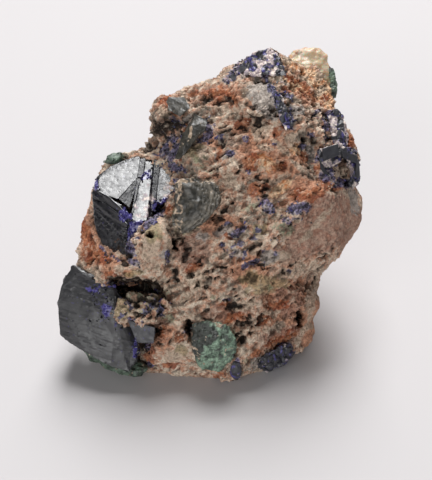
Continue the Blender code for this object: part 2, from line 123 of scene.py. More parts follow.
# Where each kind of rock shows on the display face: (u, v, half width, half height, turn in degrees).
# Azurite, its traces, malachite and grey calcite are minerals. Iron, amber, ash, ochre, salmon and brown are
# colours of the rock, and pale is its cream cement. The rock has little relief where it is smooth. A hollow
# is shallow, a cave is deep, and where the rock is clear, it is set back to make room for the crown.
# Hollows and caves are also painted dark, as painted shade.
ROCK_PATCHES = {
    "azurite": [
        (-10.2, 18.6, 0.8, 2.0, -25), (-9.0, 16.6, 1.0, 0.9, 0), (-2.2, 20.4, 1.0, 0.8, 0),
        (-2.2, 23.0, 0.8, 1.1, -20), (6.3, 35.4, 5.2, 0.9, 38), (12.5, 35.2, 2.8, 0.8, -62),
        (10.0, 33.4, 0.8, 2.0, 0), (11.2, 29.8, 0.7, 1.6, 10), (9.2, 36.6, 1.6, 1.0, 0),
        (7.2, 34.8, 1.2, 1.0, 0), (10.4, 34.4, 1.4, 1.1, 0), (12.8, 33.4, 1.1, 0.9, -30),
        (3.0, 32.2, 1.5, 0.6, 20), (12.2, 28.0, 0.8, 2.4, 15), (14.4, 23.9, 1.0, 1.9, 20),
        (11.6, 18.8, 0.7, 0.6, 0), (19.4, 21.0, 0.8, 0.7, 0), (20.2, 25.4, 0.6, 0.5, 0),
        (21.9, 22.6, 0.6, 2.8, 0), (24.9, 22.6, 0.8, 3.2, 0), (23.4, 25.6, 1.6, 0.7, 0),
        (26.6, 17.3, 2.0, 1.2, -30), (22.2, 12.8, 1.4, 1.6, 40), (25.5, 11.4, 2.0, 1.0, 10),
        (28.2, 14.0, 0.8, 2.8, 0), (10.5, 6.7, 1.1, 2.2, 35), (16.6, 6.3, 2.2, 1.2, 10),
        (14.2, 3.8, 1.2, 0.6, -20), (4.2, 1.6, 1.3, 0.6, 30), (1.2, -1.0, 0.8, 0.6, 0),
        (3.2, -3.0, 1.0, 0.5, 30), (7.2, -4.6, 2.0, 0.6, 20), (5.0, -0.6, 0.9, 0.5, 30),
        (2.2, 3.2, 0.8, 0.5, 0), (-17.6, -1.4, 1.0, 2.3, 25), (-16.4, -4.4, 1.7, 0.8, -25),
        (-17.0, 0.6, 0.8, 1.8, 0), (-8.2, 17.6, 1.1, 2.2, -40), (-8.0, 14.6, 2.0, 0.9, -25),
        (-9.2, 16.4, 1.0, 1.2, 0), (-8.0, 10.8, 0.6, 1.7, -15), (-10.2, 8.4, 1.6, 0.6, 45),
        (-11.6, 5.6, 1.1, 1.9, -10), (-13.4, 3.0, 1.6, 0.9, 20), (-1.6, 21.6, 0.9, 1.6, 0),
        (-5.2, 20.0, 0.7, 3.0, -25), (0.4, 20.4, 1.0, 0.6, 0), (2.8, 17.2, 1.3, 1.0, -30),
        (5.6, 20.2, 0.7, 0.7, 0), (-12.0, -13.0, 1.6, 0.8, -15), (-14.5, -14.7, 0.8, 0.5, 0),
        (-10.8, -14.6, 0.6, 0.8, 0), (-5.8, -18.6, 1.2, 0.5, 10), (4.2, -25.4, 0.9, 2.0, 0),
        (14.0, -22.0, 1.6, 1.3, 30), (10.6, -24.6, 2.2, 1.0, 10), (-13.9, -21.0, 0.7, 1.6, 0),
        (-13.6, -25.0, 1.2, 0.6, 0), (-18.6, 5.0, 0.9, 1.5, 0), (-23.6, 10.6, 0.8, 1.4, 0),
        (-10.2, -3.0, 0.5, 1.2, 10), (-22.6, -1.8, 0.5, 1.6, 40), (-25.6, -9.2, 1.3, 0.5, 0),
        (-22.4, -9.0, 1.6, 0.4, 20), (14.6, -6.2, 0.6, 0.5, 0), (2.4, -11.6, 0.6, 0.4, 0),
        (6.6, 13.6, 0.5, 0.4, 0), (17.4, 18.8, 0.7, 0.6, 0), (20.6, 17.0, 0.7, 1.2, 0),
    ],
    "trace": [
        (7.2, -1.0, 5.2, 4.0, 0), (10.6, 8.0, 2.0, 1.6, 0), (-8.6, 20.0, 2.6, 5.0, -10),
        (-2.6, 21.6, 3.0, 3.0, 0), (-16.4, 0.2, 1.6, 4.0, 0), (-15.4, -12.6, 5.6, 4.2, 0),
        (22.4, 15.6, 3.0, 5.0, 0), (-3.0, 8.0, 1.4, 5.0, 0), (16.4, 6.2, 3.4, 2.6, 0),
        (-20.4, -3.6, 2.0, 1.6, 0), (14.8, -25.4, 4.6, 2.4, 20), (14.0, 27.4, 2.2, 4.4, 20),
        (-12.0, 15.0, 1.6, 2.4, 0),
    ],
    "malachite": [
        (-16.6, -11.4, 1.4, 1.0, 0), (-13.4, -11.4, 1.2, 0.8, 0), (1.0, -20.0, 0.6, 1.6, 0),
        (-2.7, 15.6, 1.7, 1.2, 20), (-1.4, 13.6, 1.0, 0.8, 0), (13.8, 2.4, 2.6, 1.3, -15),
        (10.4, -9.0, 1.4, 0.8, 20), (-0.3, -11.1, 0.8, 0.6, 0), (-14.0, -9.2, 1.5, 1.3, 0),
        (-13.6, -12.6, 4.0, 2.2, -10), (-9.6, -15.4, 1.6, 1.2, 0), (-21.0, 16.4, 1.2, 1.0, 0),
        (6.4, 6.4, 2.0, 1.0, 30), (-10.6, -10.8, 1.6, 1.0, 0), (-12.0, 0.6, 1.0, 0.7, 30),
        (3.6, -19.0, 0.8, 1.6, 0), (6.6, -24.0, 1.2, 0.8, 0), (9.0, 14.4, 0.8, 0.6, 0),
        (-6.0, 5.0, 3.0, 4.0, 0),
    ],
    "iron": [
        (-9.8, 28.4, 1.8, 0.8, 25), (-9.0, 26.6, 2.8, 0.6, -54), (-3.4, 29.4, 3.0, 0.8, 8),
        (0.8, 29.4, 2.4, 1.6, 20), (3.2, 28.0, 1.2, 1.8, 10), (16.4, 31.6, 4.6, 0.5, -35),
        (19.2, 28.6, 3.2, 0.6, -30), (21.4, 28.0, 0.8, 1.6, -30), (14.8, 30.0, 2.0, 0.7, -30),
        (13.4, 33.6, 0.6, 1.8, 30), (24.6, 21.8, 0.7, 1.6, 0), (26.6, 20.0, 1.6, 1.8, -30),
        (23.6, 19.6, 0.8, 0.8, 0), (-26.0, 0.6, 1.3, 3.6, 8), (-25.2, -3.0, 1.8, 2.4, 0),
        (-22.8, -3.2, 1.5, 2.4, 20), (-21.6, -7.2, 1.2, 0.9, 0), (-17.6, -6.6, 1.4, 0.8, -10),
        (-26.6, 8.8, 0.9, 1.8, 0), (16.5, 9.2, 2.0, 1.2, 20), (20.4, 9.6, 4.4, 1.4, 32),
        (24.6, 11.0, 1.6, 1.2, 0), (12.6, 14.4, 2.0, 1.0, 10), (7.0, 15.4, 2.0, 1.8, 0),
        (8.6, 10.2, 2.4, 1.6, 20), (12.0, -20.6, 2.8, 1.6, 15), (15.0, -18.8, 1.6, 0.9, 30),
        (8.0, -22.6, 1.4, 1.2, 40), (-13.2, -22.6, 1.2, 2.4, 10), (-6.4, 16.8, 1.2, 0.9, 40),
        (-5.8, 22.0, 0.6, 1.6, -20), (0.8, 17.6, 0.6, 2.4, 0), (5.4, 23.4, 2.0, 1.0, 20),
        (12.6, -13.0, 2.6, 1.0, 15), (1.8, -12.8, 1.6, 0.8, 20), (3.6, -15.6, 2.4, 0.9, 20),
        (9.6, -16.2, 2.0, 1.0, 20), (-9.4, 6.2, 1.4, 1.2, 0), (17.6, 16.6, 1.2, 1.4, 0),
        (-4.8, -5.4, 1.8, 1.0, 35), (2.6, 0.6, 0.8, 0.5, 0), (12.8, 21.6, 1.8, 1.0, 20),
        (-24.0, 14.0, 0.8, 0.5, 30), (20.4, 14.0, 1.2, 1.2, 0), (1.6, -23.8, 1.2, 0.8, 0),
        (-11.0, -18.4, 1.2, 1.4, 0), (-7.6, -19.6, 1.0, 0.8, 0), (-9.0, -25.2, 2.2, 0.6, 0),
        (0.8, -27.2, 1.6, 0.5, 0),
    ],
    "amber": [
        (19.8, 33.0, 2.2, 0.9, -42), (20.6, 28.6, 1.8, 1.2, -35), (15.0, 35.0, 2.2, 0.8, -35),
        (18.6, 33.4, 3.2, 1.2, -38), (21.4, 30.4, 2.6, 1.2, -50), (22.6, 27.4, 1.2, 2.0, 15),
        (17.0, 30.6, 2.4, 0.8, -30), (14.4, 32.6, 1.2, 1.0, -40), (13.0, 10.4, 3.0, 1.0, 35),
        (9.6, 15.4, 2.6, 1.6, -20), (16.0, 18.4, 1.8, 1.2, -30), (19.4, 31.4, 3.4, 1.5, -42),
    ],
    "ash": [
        (9.2, 29.0, 3.2, 3.8, 10), (11.0, 24.8, 1.6, 1.4, 0), (15.8, 26.2, 2.4, 1.0, -12),
        (6.4, 33.6, 1.8, 0.9, 30), (1.8, 1.8, 2.4, 1.6, 20), (4.4, -2.6, 1.8, 1.0, 10),
        (10.8, -3.4, 2.4, 1.4, 20), (-5.0, 24.0, 1.4, 1.2, 0), (1.4, 16.6, 1.6, 1.0, 0),
        (19.0, 17.4, 0.9, 2.0, 10), (-3.0, 0.6, 1.4, 0.9, 0), (-10.6, -2.8, 1.2, 1.2, 0),
        (8.0, -24.6, 0.9, 2.2, -35), (27.6, 7.6, 1.1, 3.4, 10),
    ],
    "ochre": [
        (9.2, -9.0, 3.8, 2.2, 15), (6.6, -7.2, 2.6, 1.4, 20), (13.0, -8.4, 1.8, 1.0, 0),
        (-19.2, -13.4, 1.8, 2.6, 10), (-16.4, -6.6, 2.4, 0.8, 0), (-7.0, -22.0, 1.6, 1.2, 0),
        (8.8, 2.2, 2.0, 1.2, 20), (-12.4, 1.0, 1.6, 2.0, 0), (-4.8, 17.0, 1.7, 1.4, 0),
        (-3.2, 18.4, 1.4, 0.9, 0),
    ],
    "pale": [
        (19.5, -12.6, 0.7, 5.4, -12), (17.2, -18.6, 0.8, 3.0, -40), (26.4, 9.0, 0.8, 2.4, 30),
        (4.6, 26.0, 1.8, 1.2, 30), (1.0, 26.6, 1.6, 0.9, 10), (6.2, 23.6, 1.2, 1.6, 0),
        (-1.6, 27.6, 1.4, 0.7, 20), (12.4, 19.0, 2.2, 0.8, -35), (16.2, 15.0, 2.4, 0.6, -40),
        (9.4, 18.4, 1.6, 0.8, -30), (12.8, 8.2, 2.4, 0.5, 35), (-10.2, 25.5, 1.4, 0.8, -20),
        (-3.9, 17.0, 2.9, 2.3, 0), (-19.8, -13.0, 1.2, 2.6, 10), (18.2, 31.2, 3.2, 0.7, -42),
        (20.2, 27.4, 0.6, 1.6, 10), (16.0, 28.2, 1.6, 0.6, -30), (21.6, 30.0, 0.6, 1.2, -20),
        (12.8, 12.2, 2.4, 0.7, 35), (8.6, 14.2, 1.4, 0.7, 20), (13.8, 17.4, 1.6, 0.8, -30),
        (24.6, 13.6, 2.0, 1.6, 0), (17.4, 32.0, 1.8, 1.0, -40), (20.4, 29.6, 0.8, 1.6, -30),
        (10.0, 11.6, 1.8, 1.2, 30), (14.6, 30.0, 1.0, 1.4, 20), (-12.0, 2.2, 2.6, 1.6, 20),
        (-13.4, -1.4, 2.0, 2.6, 0), (-10.2, -1.6, 1.0, 2.6, 0), (-12.6, -4.6, 2.8, 1.2, 10),
        (-26.2, -7.0, 2.6, 1.5, 0), (-24.2, -6.6, 1.6, 1.2, 0), (-10.4, 25.6, 1.4, 0.9, 0),
        (8.7, 28.9, 4.0, 2.8, -12), (9.2, 25.2, 3.0, 1.2, 0), (18.2, 18.6, 1.4, 1.6, 0),
        (16.4, 4.2, 1.2, 0.9, 0), (16.3, -6.4, 5.4, 1.2, 6), (18.8, -11.6, 1.3, 3.2, -12),
        (20.0, -6.0, 1.8, 1.6, 0), (-7.9, -23.2, 3.2, 1.4, 0), (-19.4, -12.8, 1.9, 2.4, 10),
        (-17.0, -14.4, 2.4, 1.0, -10), (-6.4, -12.4, 2.4, 1.4, 20), (-4.6, -15.8, 2.2, 1.6, 0),
        (-8.0, -20.4, 1.4, 1.6, 0), (9.0, 21.6, 2.4, 1.8, 0), (14.8, 20.0, 1.4, 1.6, 0),
        (5.0, -10.0, 1.6, 1.2, 20), (12.0, -3.6, 3.4, 1.4, 15), (-3.0, 18.4, 1.2, 1.2, 0),
        (2.8, 12.0, 1.4, 1.6, 0), (9.0, -26.0, 1.2, 2.4, -45), (8.0, -1.6, 2.0, 1.2, 20),
        (-21.0, -11.0, 0.9, 1.4, 0), (-19.6, -5.6, 1.6, 0.8, 0), (-16.0, -6.2, 1.2, 0.6, 0),
        (22.6, 10.0, 1.0, 2.4, 60), (25.4, 14.0, 1.9, 1.4, 0), (20.8, 32.6, 1.2, 1.0, -40),
        (14.6, 36.2, 1.4, 0.9, 0), (-7.4, 1.4, 0.8, 2.2, 10), (5.6, -13.0, 3.0, 1.2, 20),
        (-4.0, -8.0, 2.6, 2.0, 20), (-21.4, 0.6, 0.6, 1.2, 0), (10.8, -14.8, 2.4, 1.2, 15),
        (20.0, 3.0, 0.8, 6.0, -40), (12.0, -17.4, 2.6, 1.0, 20), (-2.0, -24.6, 2.2, 0.9, 0),
        (24.8, 15.2, 1.2, 0.8, 0),
    ],
    "grey": [
        (8.7, 28.9, 4.0, 2.8, -12), (-8.0, 24.2, 3.0, 2.0, 0), (-6.0, 13.6, 2.6, 2.4, 0),
        (-8.6, 3.4, 2.4, 4.0, 0), (2.6, 20.2, 3.4, 1.9, -15), (-6.6, 9.0, 2.2, 4.4, 0),
        (14.0, 2.4, 2.0, 1.0, 0), (-12.4, 22.6, 2.0, 3.4, -20), (-14.6, 19.0, 2.0, 1.2, 0),
        (16.0, 24.8, 2.2, 1.8, 0), (-15.0, -11.0, 4.0, 2.0, 0), (18.0, 20.6, 1.6, 1.6, 0),
        (-3.0, 25.6, 2.0, 1.0, 0), (8.0, 4.0, 2.0, 1.6, 0), (19.0, 13.6, 2.0, 2.0, 0),
        (15.6, 12.4, 2.0, 0.8, 30),
    ],
    "smooth": [
        (20.6, 2.4, 7.4, 4.2, 38), (16.6, -1.8, 5.0, 2.0, 20), (22.6, 6.4, 4.4, 3.6, 20),
        (-26.2, 3.0, 1.0, 2.4, 8), (20.4, -13.4, 2.4, 6.0, -12), (28.0, 4.0, 3.2, 9.0, -10),
        (16.6, -20.4, 1.2, 3.0, -50), (8.7, 28.9, 3.0, 2.4, -12), (-7.9, -22.6, 4.0, 2.0, 0),
        (-11.6, -0.6, 2.6, 3.6, 0), (-26.2, -6.6, 2.2, 1.4, 0), (16.0, 11.6, 2.4, 0.9, 25),
        (-25.6, 8.0, 1.0, 2.0, 0),
    ],
    "salmon": [
        (11.0, 16.0, 8.0, 5.5, -30), (18.6, 30.8, 4.0, 3.8, -40), (5.6, 20.6, 3.2, 2.6, 0),
        (2.0, 28.6, 5.6, 2.2, 15), (-9.6, 26.8, 2.4, 2.4, 0), (14.4, -12.6, 6.0, 8.0, 0),
        (6.6, -5.6, 4.6, 4.0, 20), (-25.4, 0.0, 2.6, 6.6, 8), (-22.0, -4.6, 3.0, 2.6, 0),
        (1.0, 3.0, 5.0, 2.4, 0), (16.8, 9.6, 6.0, 2.2, 25), (-0.4, 19.6, 1.6, 1.8, 0),
        (-10.4, -19.4, 3.0, 3.0, 0), (22.4, 24.6, 1.2, 2.4, 0), (27.0, 20.0, 1.6, 1.6, 0),
        (3.6, -15.0, 4.0, 2.0, 0), (19.4, -20.0, 2.6, 5.0, 0), (20.8, -12.0, 1.6, 5.4, -12),
    ],
    "cave": [
        (-13.1, 0.9, 0.45, 0.4, 0), (-8.2, -0.7, 0.5, 1.2, 0), (-17.4, -8.9, 4.0, 1.2, -3),
        (-13.0, -9.4, 2.1, 1.3, -10), (-5.2, -18.4, 0.7, 2.2, 5), (16.9, -15.8, 0.7, 1.5, -15),
    ],
    "clear": [
        (-19.6, 12.0, 4.4, 4.4, 25), (-14.6, 10.4, 2.2, 5.8, 10), (-9.8, 11.8, 3.2, 3.4, -30),
        (-20.8, 2.0, 2.8, 5.4, 22),
    ],
    "brown": [
        (20.6, 2.4, 8.0, 5.2, 38), (16.6, -1.8, 5.4, 2.4, 20), (22.6, 6.4, 4.6, 3.8, 20),
        (27.0, 2.0, 2.4, 5.0, -20), (-26.0, 0.6, 1.6, 4.6, 8), (-4.6, -2.0, 4.0, 4.0, 0),
        (2.0, -14.6, 5.0, 2.4, 10), (12.6, -19.4, 4.6, 2.6, 25), (14.4, -12.0, 3.0, 4.0, 0),
        (-11.4, -17.6, 1.8, 2.4, 0),
    ],
    "hollow": [
        (-14.8, -11.2, 1.3, 0.6, 10), (-12.2, -12.6, 0.9, 0.6, 0), (-17.4, -12.2, 0.7, 0.8, 0),
        (-11.0, -11.2, 0.9, 0.6, 0), (-15.4, -14.8, 1.6, 0.5, -10), (-19.2, -10.6, 0.8, 0.5, 0),
        (-13.4, -14.0, 0.7, 0.6, 0), (-16.0, -13.4, 0.5, 0.5, 0), (-13.1, 0.8, 0.7, 0.5, -20),
        (-8.2, -0.9, 0.6, 1.6, 0), (-1.5, -8.7, 0.9, 1.2, 0), (4.8, 3.9, 0.5, 0.7, 0),
        (16.9, -15.8, 0.8, 1.7, -15), (4.9, -16.9, 0.8, 0.8, 0), (13.1, 15.2, 0.4, 0.3, 0),
        (11.9, 21.0, 0.4, 0.4, 0), (-5.2, -18.4, 0.8, 2.4, 5), (-8.9, 22.4, 2.4, 1.5, 15),
        (-11.2, 21.6, 2.0, 1.6, 0), (-12.4, 22.8, 1.4, 1.3, 0), (-9.2, 23.4, 2.2, 0.8, 10),
        (-5.2, 24.0, 1.8, 0.5, 35), (7.2, -12.0, 0.6, 0.4, 20), (2.4, -11.9, 0.5, 0.4, 0),
        (-5.4, -7.6, 0.5, 0.7, 0), (9.4, -15.4, 0.7, 0.4, 20), (5.2, -20.4, 0.5, 1.2, 0),
        (17.4, 20.0, 0.4, 0.4, 0), (-21.4, -8.0, 1.4, 0.6, 0), (0.6, -18.0, 0.6, 0.4, 0),
        (-13.4, 18.8, 1.6, 0.8, 0), (-17.2, -9.0, 4.4, 1.4, -3), (-13.0, -9.5, 2.2, 1.5, -10),
        (-17.6, -11.8, 1.6, 0.6, -20), (-14.6, -12.0, 1.4, 0.5, 0), (-11.8, -12.6, 1.0, 1.2, 0),
        (-8.0, -6.4, 0.5, 0.9, 0), (-3.4, -5.0, 0.6, 0.4, 20), (1.2, -5.4, 0.5, 0.4, 0),
        (6.8, -16.2, 0.6, 1.0, 0), (3.4, 7.4, 0.4, 0.4, 0), (-11.6, -12.6, 2.0, 0.6, -30),
        (-12.4, -18.2, 1.4, 0.6, -30), (9.6, 20.8, 0.3, 0.3, 0),
    ],
}

# On the sides and the back, each kind of rock lies in patches of this width, where noise from -1 to 1 is over
# this level. At 2.0 there is none.
ROCK_HIDDEN = {
    "azurite": (5.0, 0.34),
    "trace": (4.0, 0.2),
    "malachite": (7.0, 0.34),
    "iron": (6.0, 0.10),
    "pale": (6.5, 0.06),
    "grey": (8.0, 0.22),
    "smooth": (11.0, 0.16),
    "hollow": (2.6, 0.48),
    "salmon": (8.0, 0.0),
    "amber": (7.0, 0.3),
    "ash": (8.0, 0.3),
    "ochre": (7.0, 0.34),
    "cave": (9.0, 2.0),
    "clear": (9.0, 2.0),
    "brown": (9.0, 0.1),
}

# Patches of the same form follow. Lumps of cream cement stand out here.
RAISED_LUMPS = [
    (-3.9, 16.8, 2.4, 2.2, 0), (-11.4, 0.4, 2.2, 3.4, 10), (-6.4, -13.6, 2.4, 1.4, 20),
    (8.6, -9.4, 4.4, 1.6, 15),
]

# The rock's strings are coarsest here, and crumbs of rock lie on the crown here.
WOVEN_FACE = [(3.0, -4.0, 16.0, 9.0, 30)]
CROWN_CRUMBS = [(-14.4, 7.6, 2.0, 4.4, -15), (-9.4, 11.0, 2.2, 3.0, 0)]

# Rock fills the knot of azurite, streaks the calcite blade, and clings to the knob and to the nodule.
KNOT_ROCK = [(25.2, 14.0, 2.4, 2.0, 0), (23.4, 22.6, 0.9, 2.2, 0)]
BLADE_STREAK = [(-5.4, 20.6, 0.5, 2.8, -12)]
KNOB_CRUMBS = [(20.6, 33.0, 1.6, 1.2, -35), (16.6, 37.6, 0.8, 1.0, 0)]
NODULE_CRUMBS = [(0.4, -16.4, 1.6, 1.0, -50), (-4.0, -22.8, 0.6, 1.6, 20)]

# The nodule is darkest here.
NODULE_SHADE = [(-2.6, -18.6, 3.0, 2.2, -20), (-4.0, -20.6, 1.6, 3.2, 0)]

# The crown crystals, those with bright faces and those with dark, striated ones. Each is the hull of its
# points (u, v, w).
BRIGHT_HULLS = {
    "bright_plate": [
        (-23.4, 12.5, -7.1), (-20.8, 14.1, -5.9), (-17.6, 15.5, -5.0), (-15.1, 16.1, -4.6),
        (-15.1, 13.0, -6.8), (-19.6, 8.1, -10.2), (-22.0, 8.9, -9.65), (-23.3, 9.6, -9.1),
        (-24.0, 9.9, -8.9), (-21.2, 14.8, -5.2), (-18.0, 16.2, -4.2), (-15.2, 16.9, -3.7),
        (-24.0, 12.6, -6.6), (-20, 12, 0), (-15.5, 13, 0), (-22.5, 8, -2),
    ],
    "grey_facet": [
        (-15.0, 13.2, -6.6), (-19.5, 8.2, -10.1), (-17.3, 6.4, -10.6), (-16.5, 9.0, -9.05),
        (-15.3, 13.0, -6.75), (-17, 8, -3), (-15.4, 12, -3),
    ],
    "pale_strip": [
        (-14.2, 16.0, -4.5), (-12.4, 16.0, -4.5), (-12.9, 12.0, -7.5), (-13.7, 8.0, -10.5),
        (-13.8, 3.9, -13.6), (-16.0, 3.5, -13.9), (-16.9, 4.2, -13.3), (-15.4, 11.2, -8.1),
        (-12.0, 16.2, -3.6), (-12.4, 12.0, -6.3), (-13.1, 8.0, -9.2), (-13.2, 3.6, -12.0),
        (-14.4, 16.9, -3.7), (-12.2, 16.8, -3.7), (-14, 12, -1), (-12.8, 12, -1), (-15.6, 3, -6),
        (-13.4, 3, -6),
    ],
    "grey_plate": [
        (-11.2, 15.2, -5.6), (-9.6, 14.4, -6.1), (-7.6, 13.6, -6.6), (-7.2, 11.4, -7.9),
        (-9.4, 9.4, -9.0), (-11.0, 7.2, -10.3), (-12.0, 7.8, -10.0), (-11.8, 10.8, -8.3),
        (-11.3, 13.5, -6.7), (-11.0, 16.3, -4.8), (-8.8, 15.2, -4.8), (-6.6, 12.6, -6.2), (-9, 12, -1),
        (-11.4, 13, -1), (-11.8, 8, -3),
    ],
    "groove_floor": [
        (-15.2, 16.4, -5.2), (-14.0, 16.4, -5.2), (-14.8, 10.0, -8.5), (-16.2, 4.8, -11.4),
        (-17.0, 5.4, -11.1), (-15.7, 11.0, -8.0), (-15, 12, -2), (-16, 5, -5),
    ],
    "right_floor": [
        (-12.4, 16.3, -5.4), (-11.1, 16.0, -5.5), (-11.7, 10.0, -8.3), (-12.3, 6.2, -10.0),
        (-13.4, 4.0, -11.0), (-13.0, 10.0, -8.4), (-12, 12, -2), (-13, 5, -5),
    ],
}
DARK_HULLS = {
    "dark_front": [
        (-24.8, 9.6, -7.6), (-24.2, 5.6, -8.1), (-24.2, 3.0, -8.4), (-23.5, 0.3, -8.7),
        (-21.5, -2.4, -9.4), (-19.1, -3.8, -10.4), (-17.1, -0.2, -11.9), (-16.9, 3.2, -12.7),
        (-18.9, 7.0, -11.5), (-22.4, 8.9, -9.6), (-18.5, -2.8, -2), (-22.6, 0, -1), (-16.5, 2, -2),
        (-23, 8, -1),
    ],
    "upper_blade": [
        (-24.7, 9.9, -8.2), (-23.4, 9.8, -9.5), (-21.6, 8.9, -10.7), (-19.4, 7.0, -12.1),
        (-18.2, 5.6, -12.7), (-18.6, 5.2, -12.2), (-21.4, 6.6, -10.2), (-24.6, 8.4, -8.2), (-22, 8, -6),
        (-19, 5.6, -8),
    ],
    "lower_blade": [
        (-24.5, 7.8, -8.5), (-22.4, 7.6, -10.0), (-19.6, 5.4, -11.9), (-17.6, 3.0, -12.9),
        (-17.8, 2.4, -12.4), (-20.4, 4.0, -10.7), (-24.3, 6.2, -8.4), (-22, 6, -6), (-18.4, 3.2, -8),
    ],
    "foot_block": [
        (-17.6, 5.0, -12.1), (-16.6, 3.9, -12.7), (-14.6, 3.2, -12.9), (-12.8, 3.6, -12.2),
        (-12.6, 2.0, -12.4), (-14.6, 1.8, -12.8), (-16.9, 1.6, -12.3), (-17.9, 3.0, -11.8),
        (-15.0, 4.4, -6.0), (-13.4, 3.2, -6.0), (-16.8, 2.0, -5.0),
    ],
    "low_front": [
        (-18.8, 0.6, -11.5), (-16.6, -0.6, -12.4), (-15.6, -3.0, -12.6), (-15.8, -5.0, -12.2),
        (-17.4, -5.0, -11.4), (-20.4, -2.6, -10.0), (-18.0, 0.0, -4.0), (-16.4, -3.0, -4.0),
        (-18.0, -4.0, -4.0),
    ],
}

# Dark azurite plates that stand out of a druse, by its piece: each is the hull of its points (u, v, w).
DRUSE_PLATES = {
    "knot_crystals": [
        [
            (21.2, 18.3, -11.6), (24.4, 19.3, -10.4), (24.7, 17.0, -10.6), (21.4, 15.7, -11.8),
            (21.4, 18.0, -6.0), (24.4, 19.0, -5.0), (24.6, 17.0, -4.0), (21.6, 15.8, -5.0),
        ],
        [
            (25.0, 18.0, -9.3), (28.1, 16.9, -6.6), (28.5, 15.2, -6.2), (25.6, 16.4, -9.1),
            (25.0, 17.6, -5.0), (28.0, 16.6, -3.0), (28.4, 15.4, -2.6), (25.6, 16.4, -4.0),
        ],
        [
            (28.2, 16.4, -5.6), (28.7, 15.4, -4.8), (28.8, 12.8, -4.6), (28.3, 11.9, -5.0),
            (28.0, 12.8, -5.4), (28.0, 15.4, -5.8), (28.4, 16.0, -2.0), (28.6, 12.4, -2.0),
            (28.1, 13.0, -2.0),
        ],
        [
            (20.7, 15.5, -11.9), (21.3, 15.1, -11.6), (22.5, 13.2, -11.0), (22.0, 12.7, -11.1),
            (20.9, 14.2, -11.7), (21.0, 15.6, -8.0), (22.2, 13.0, -8.0),
        ],
    ],
    "crest_crust": [
        [
            (11.4, 37.4, -6.4), (12.4, 36.6, -6.8), (14.0, 33.0, -9.2), (13.0, 32.8, -9.6),
            (11.6, 35.4, -8.2), (12.6, 35.4, -4.0), (13.4, 33.4, -6.0),
        ],
        [
            (2.4, 32.6, -6.6), (5.6, 35.2, -6.6), (6.2, 34.4, -7.6), (3.4, 31.8, -7.6),
            (4.4, 33.6, -4.0), (5.4, 34.4, -4.0),
        ],
    ],
}

# The top of the rock slopes down here (u, v), with the cream calcite standing behind it.
RIGHT_SHOULDER = ((10.8, 38.6), (13.4, 36.9), (16.8, 35.0), (19.0, 33.8))

# Blue micro-crystals line the crown crystals and the prow here.
CROWN_FRINGE = [
    (-14.0, 12.5, 1.2, 0.5, 10), (-13.6, 13.4, 0.9, 0.5, 20), (-18.5, 5.0, 0.9, 1.4, 0),
    (-13.4, 3.2, 2.2, 0.7, 15), (-9.2, 15.0, 2.2, 0.8, -30), (-7.4, 11.0, 0.6, 1.7, -10),
    (-10.0, 8.2, 1.8, 0.5, 45), (-11.8, 6.0, 0.8, 1.8, 0), (-23.9, 10.8, 0.4, 1.2, 0),
    (-16.8, 0.2, 0.9, 2.8, 0), (-20.6, -3.4, 2.2, 0.4, -35), (-17.0, -3.6, 1.2, 1.2, 30),
    (-16.0, -4.8, 0.8, 0.8, 0), (-15.2, 2.8, 2.4, 1.0, -12), (-17.3, 4.8, 0.5, 0.9, 30),
]
PROW_FRINGE = [
    (-22.0, -13.9, 0.9, 1.3, 10), (-24.8, -9.9, 2.0, 0.35, -25), (-21.6, -9.3, 1.6, 0.3, 10),
    (-16.2, -21.6, 0.35, 2.0, 0),
]

# The prow has a faint violet tint here.
PROW_TINT = [(-22.6, -12.8, 2.0, 4.4, 20), (-19.4, -16.4, 1.6, 2.0, 0)]

# The prow's front is broken into facets by lines (u, v, direction in degrees, slope). To the left of a line,
# the face falls back at this slope. Where the slope is below 0, the face to the right of the line comes
# forward instead. Either goes on for this distance from the line.
PROW_FACETS = (
    (-21.2, -9.0, 262.0, 0.16),
    (-22.6, -16.0, -58.0, -0.3),
    (-21.4, -15.0, -70.0, 0.3),
    (-18.6, -15.6, -72.0, 0.4),
    (-30.4, -11.6, 40.0, -0.12),
)
FACET_REACH = 6.0

# The grey lens has layers round this place (u, v), this far apart, and inside them a dark core
# (u, v, half width, half height). Crumbs of rock lap over it, from none at the first u or v to whole at the
# second, on its left and on its top.
LENS_CENTRE = (-8.4, 8.4)
LENS_LAYER = 0.85
LENS_CORE = (-6.2, 7.6, 4.6, 5.0)
LENS_LEFT = (-5.8, -7.2)
LENS_TOP = (10.6, 11.8)

# Small azurite: its piece, its CAD node, a druse's point spacing, crystal width and crystal height, or None
# for a plain crystal, and how much of it is blue and how much is under crumbs of rock.
SMALL_AZURITE = (
    ("crest_crust", "azurite_crest", (0.28, 1.3, 0.4), 0.75, 1.2),
    ("toe_crust", "azurite_toe", (0.28, 1.6, 0.5), 0.5, 0.5),
    ("tooth_crystal", "azurite_tooth", None, 0.5, 0.4),
    ("vein_crystals", "azurite_vein", (0.28, 1.4, 0.4), 0.7, 0.7),
    ("knot_crystals", "azurite_knot", (0.3, 2.0, 0.4), 0.5, 0.8),
    ("blade_crystal", "azurite_blade", None, 0.15, 0.1),
)

# Grey calcite: its piece, its CAD node, the height of its relief, how much of it is under crumbs, and how
# dark it is at least.
GREY_CALCITE = (
    ("lens_calcite", "calcite_lens", 0.5, 0.0, 0.0),
    ("wedge_calcite", "calcite_wedge", 0.25, 0.3, 0.66),
    ("blade_calcite", "calcite_blade", 0.45, 0.3, 0.64),
)

# Malachite: its piece, its CAD node, its point spacing, how wide its beads are beside the set width, and
# how dark it is at least.
MALACHITE = (
    ("nodule_malachite", "malachite_nodule", 0.28, 1.0, 0.0),
    # The foot's darkness is partly its own dark green and partly painted shade, where it lies under the prow.
    ("foot_malachite", "malachite_foot", 0.3, 1.3, 0.55),
    ("button_malachite", "malachite_button", 0.25, 1.0, 0.55),
    ("rind_malachite", "malachite_rind", 0.25, 0.8, 0.0),
)

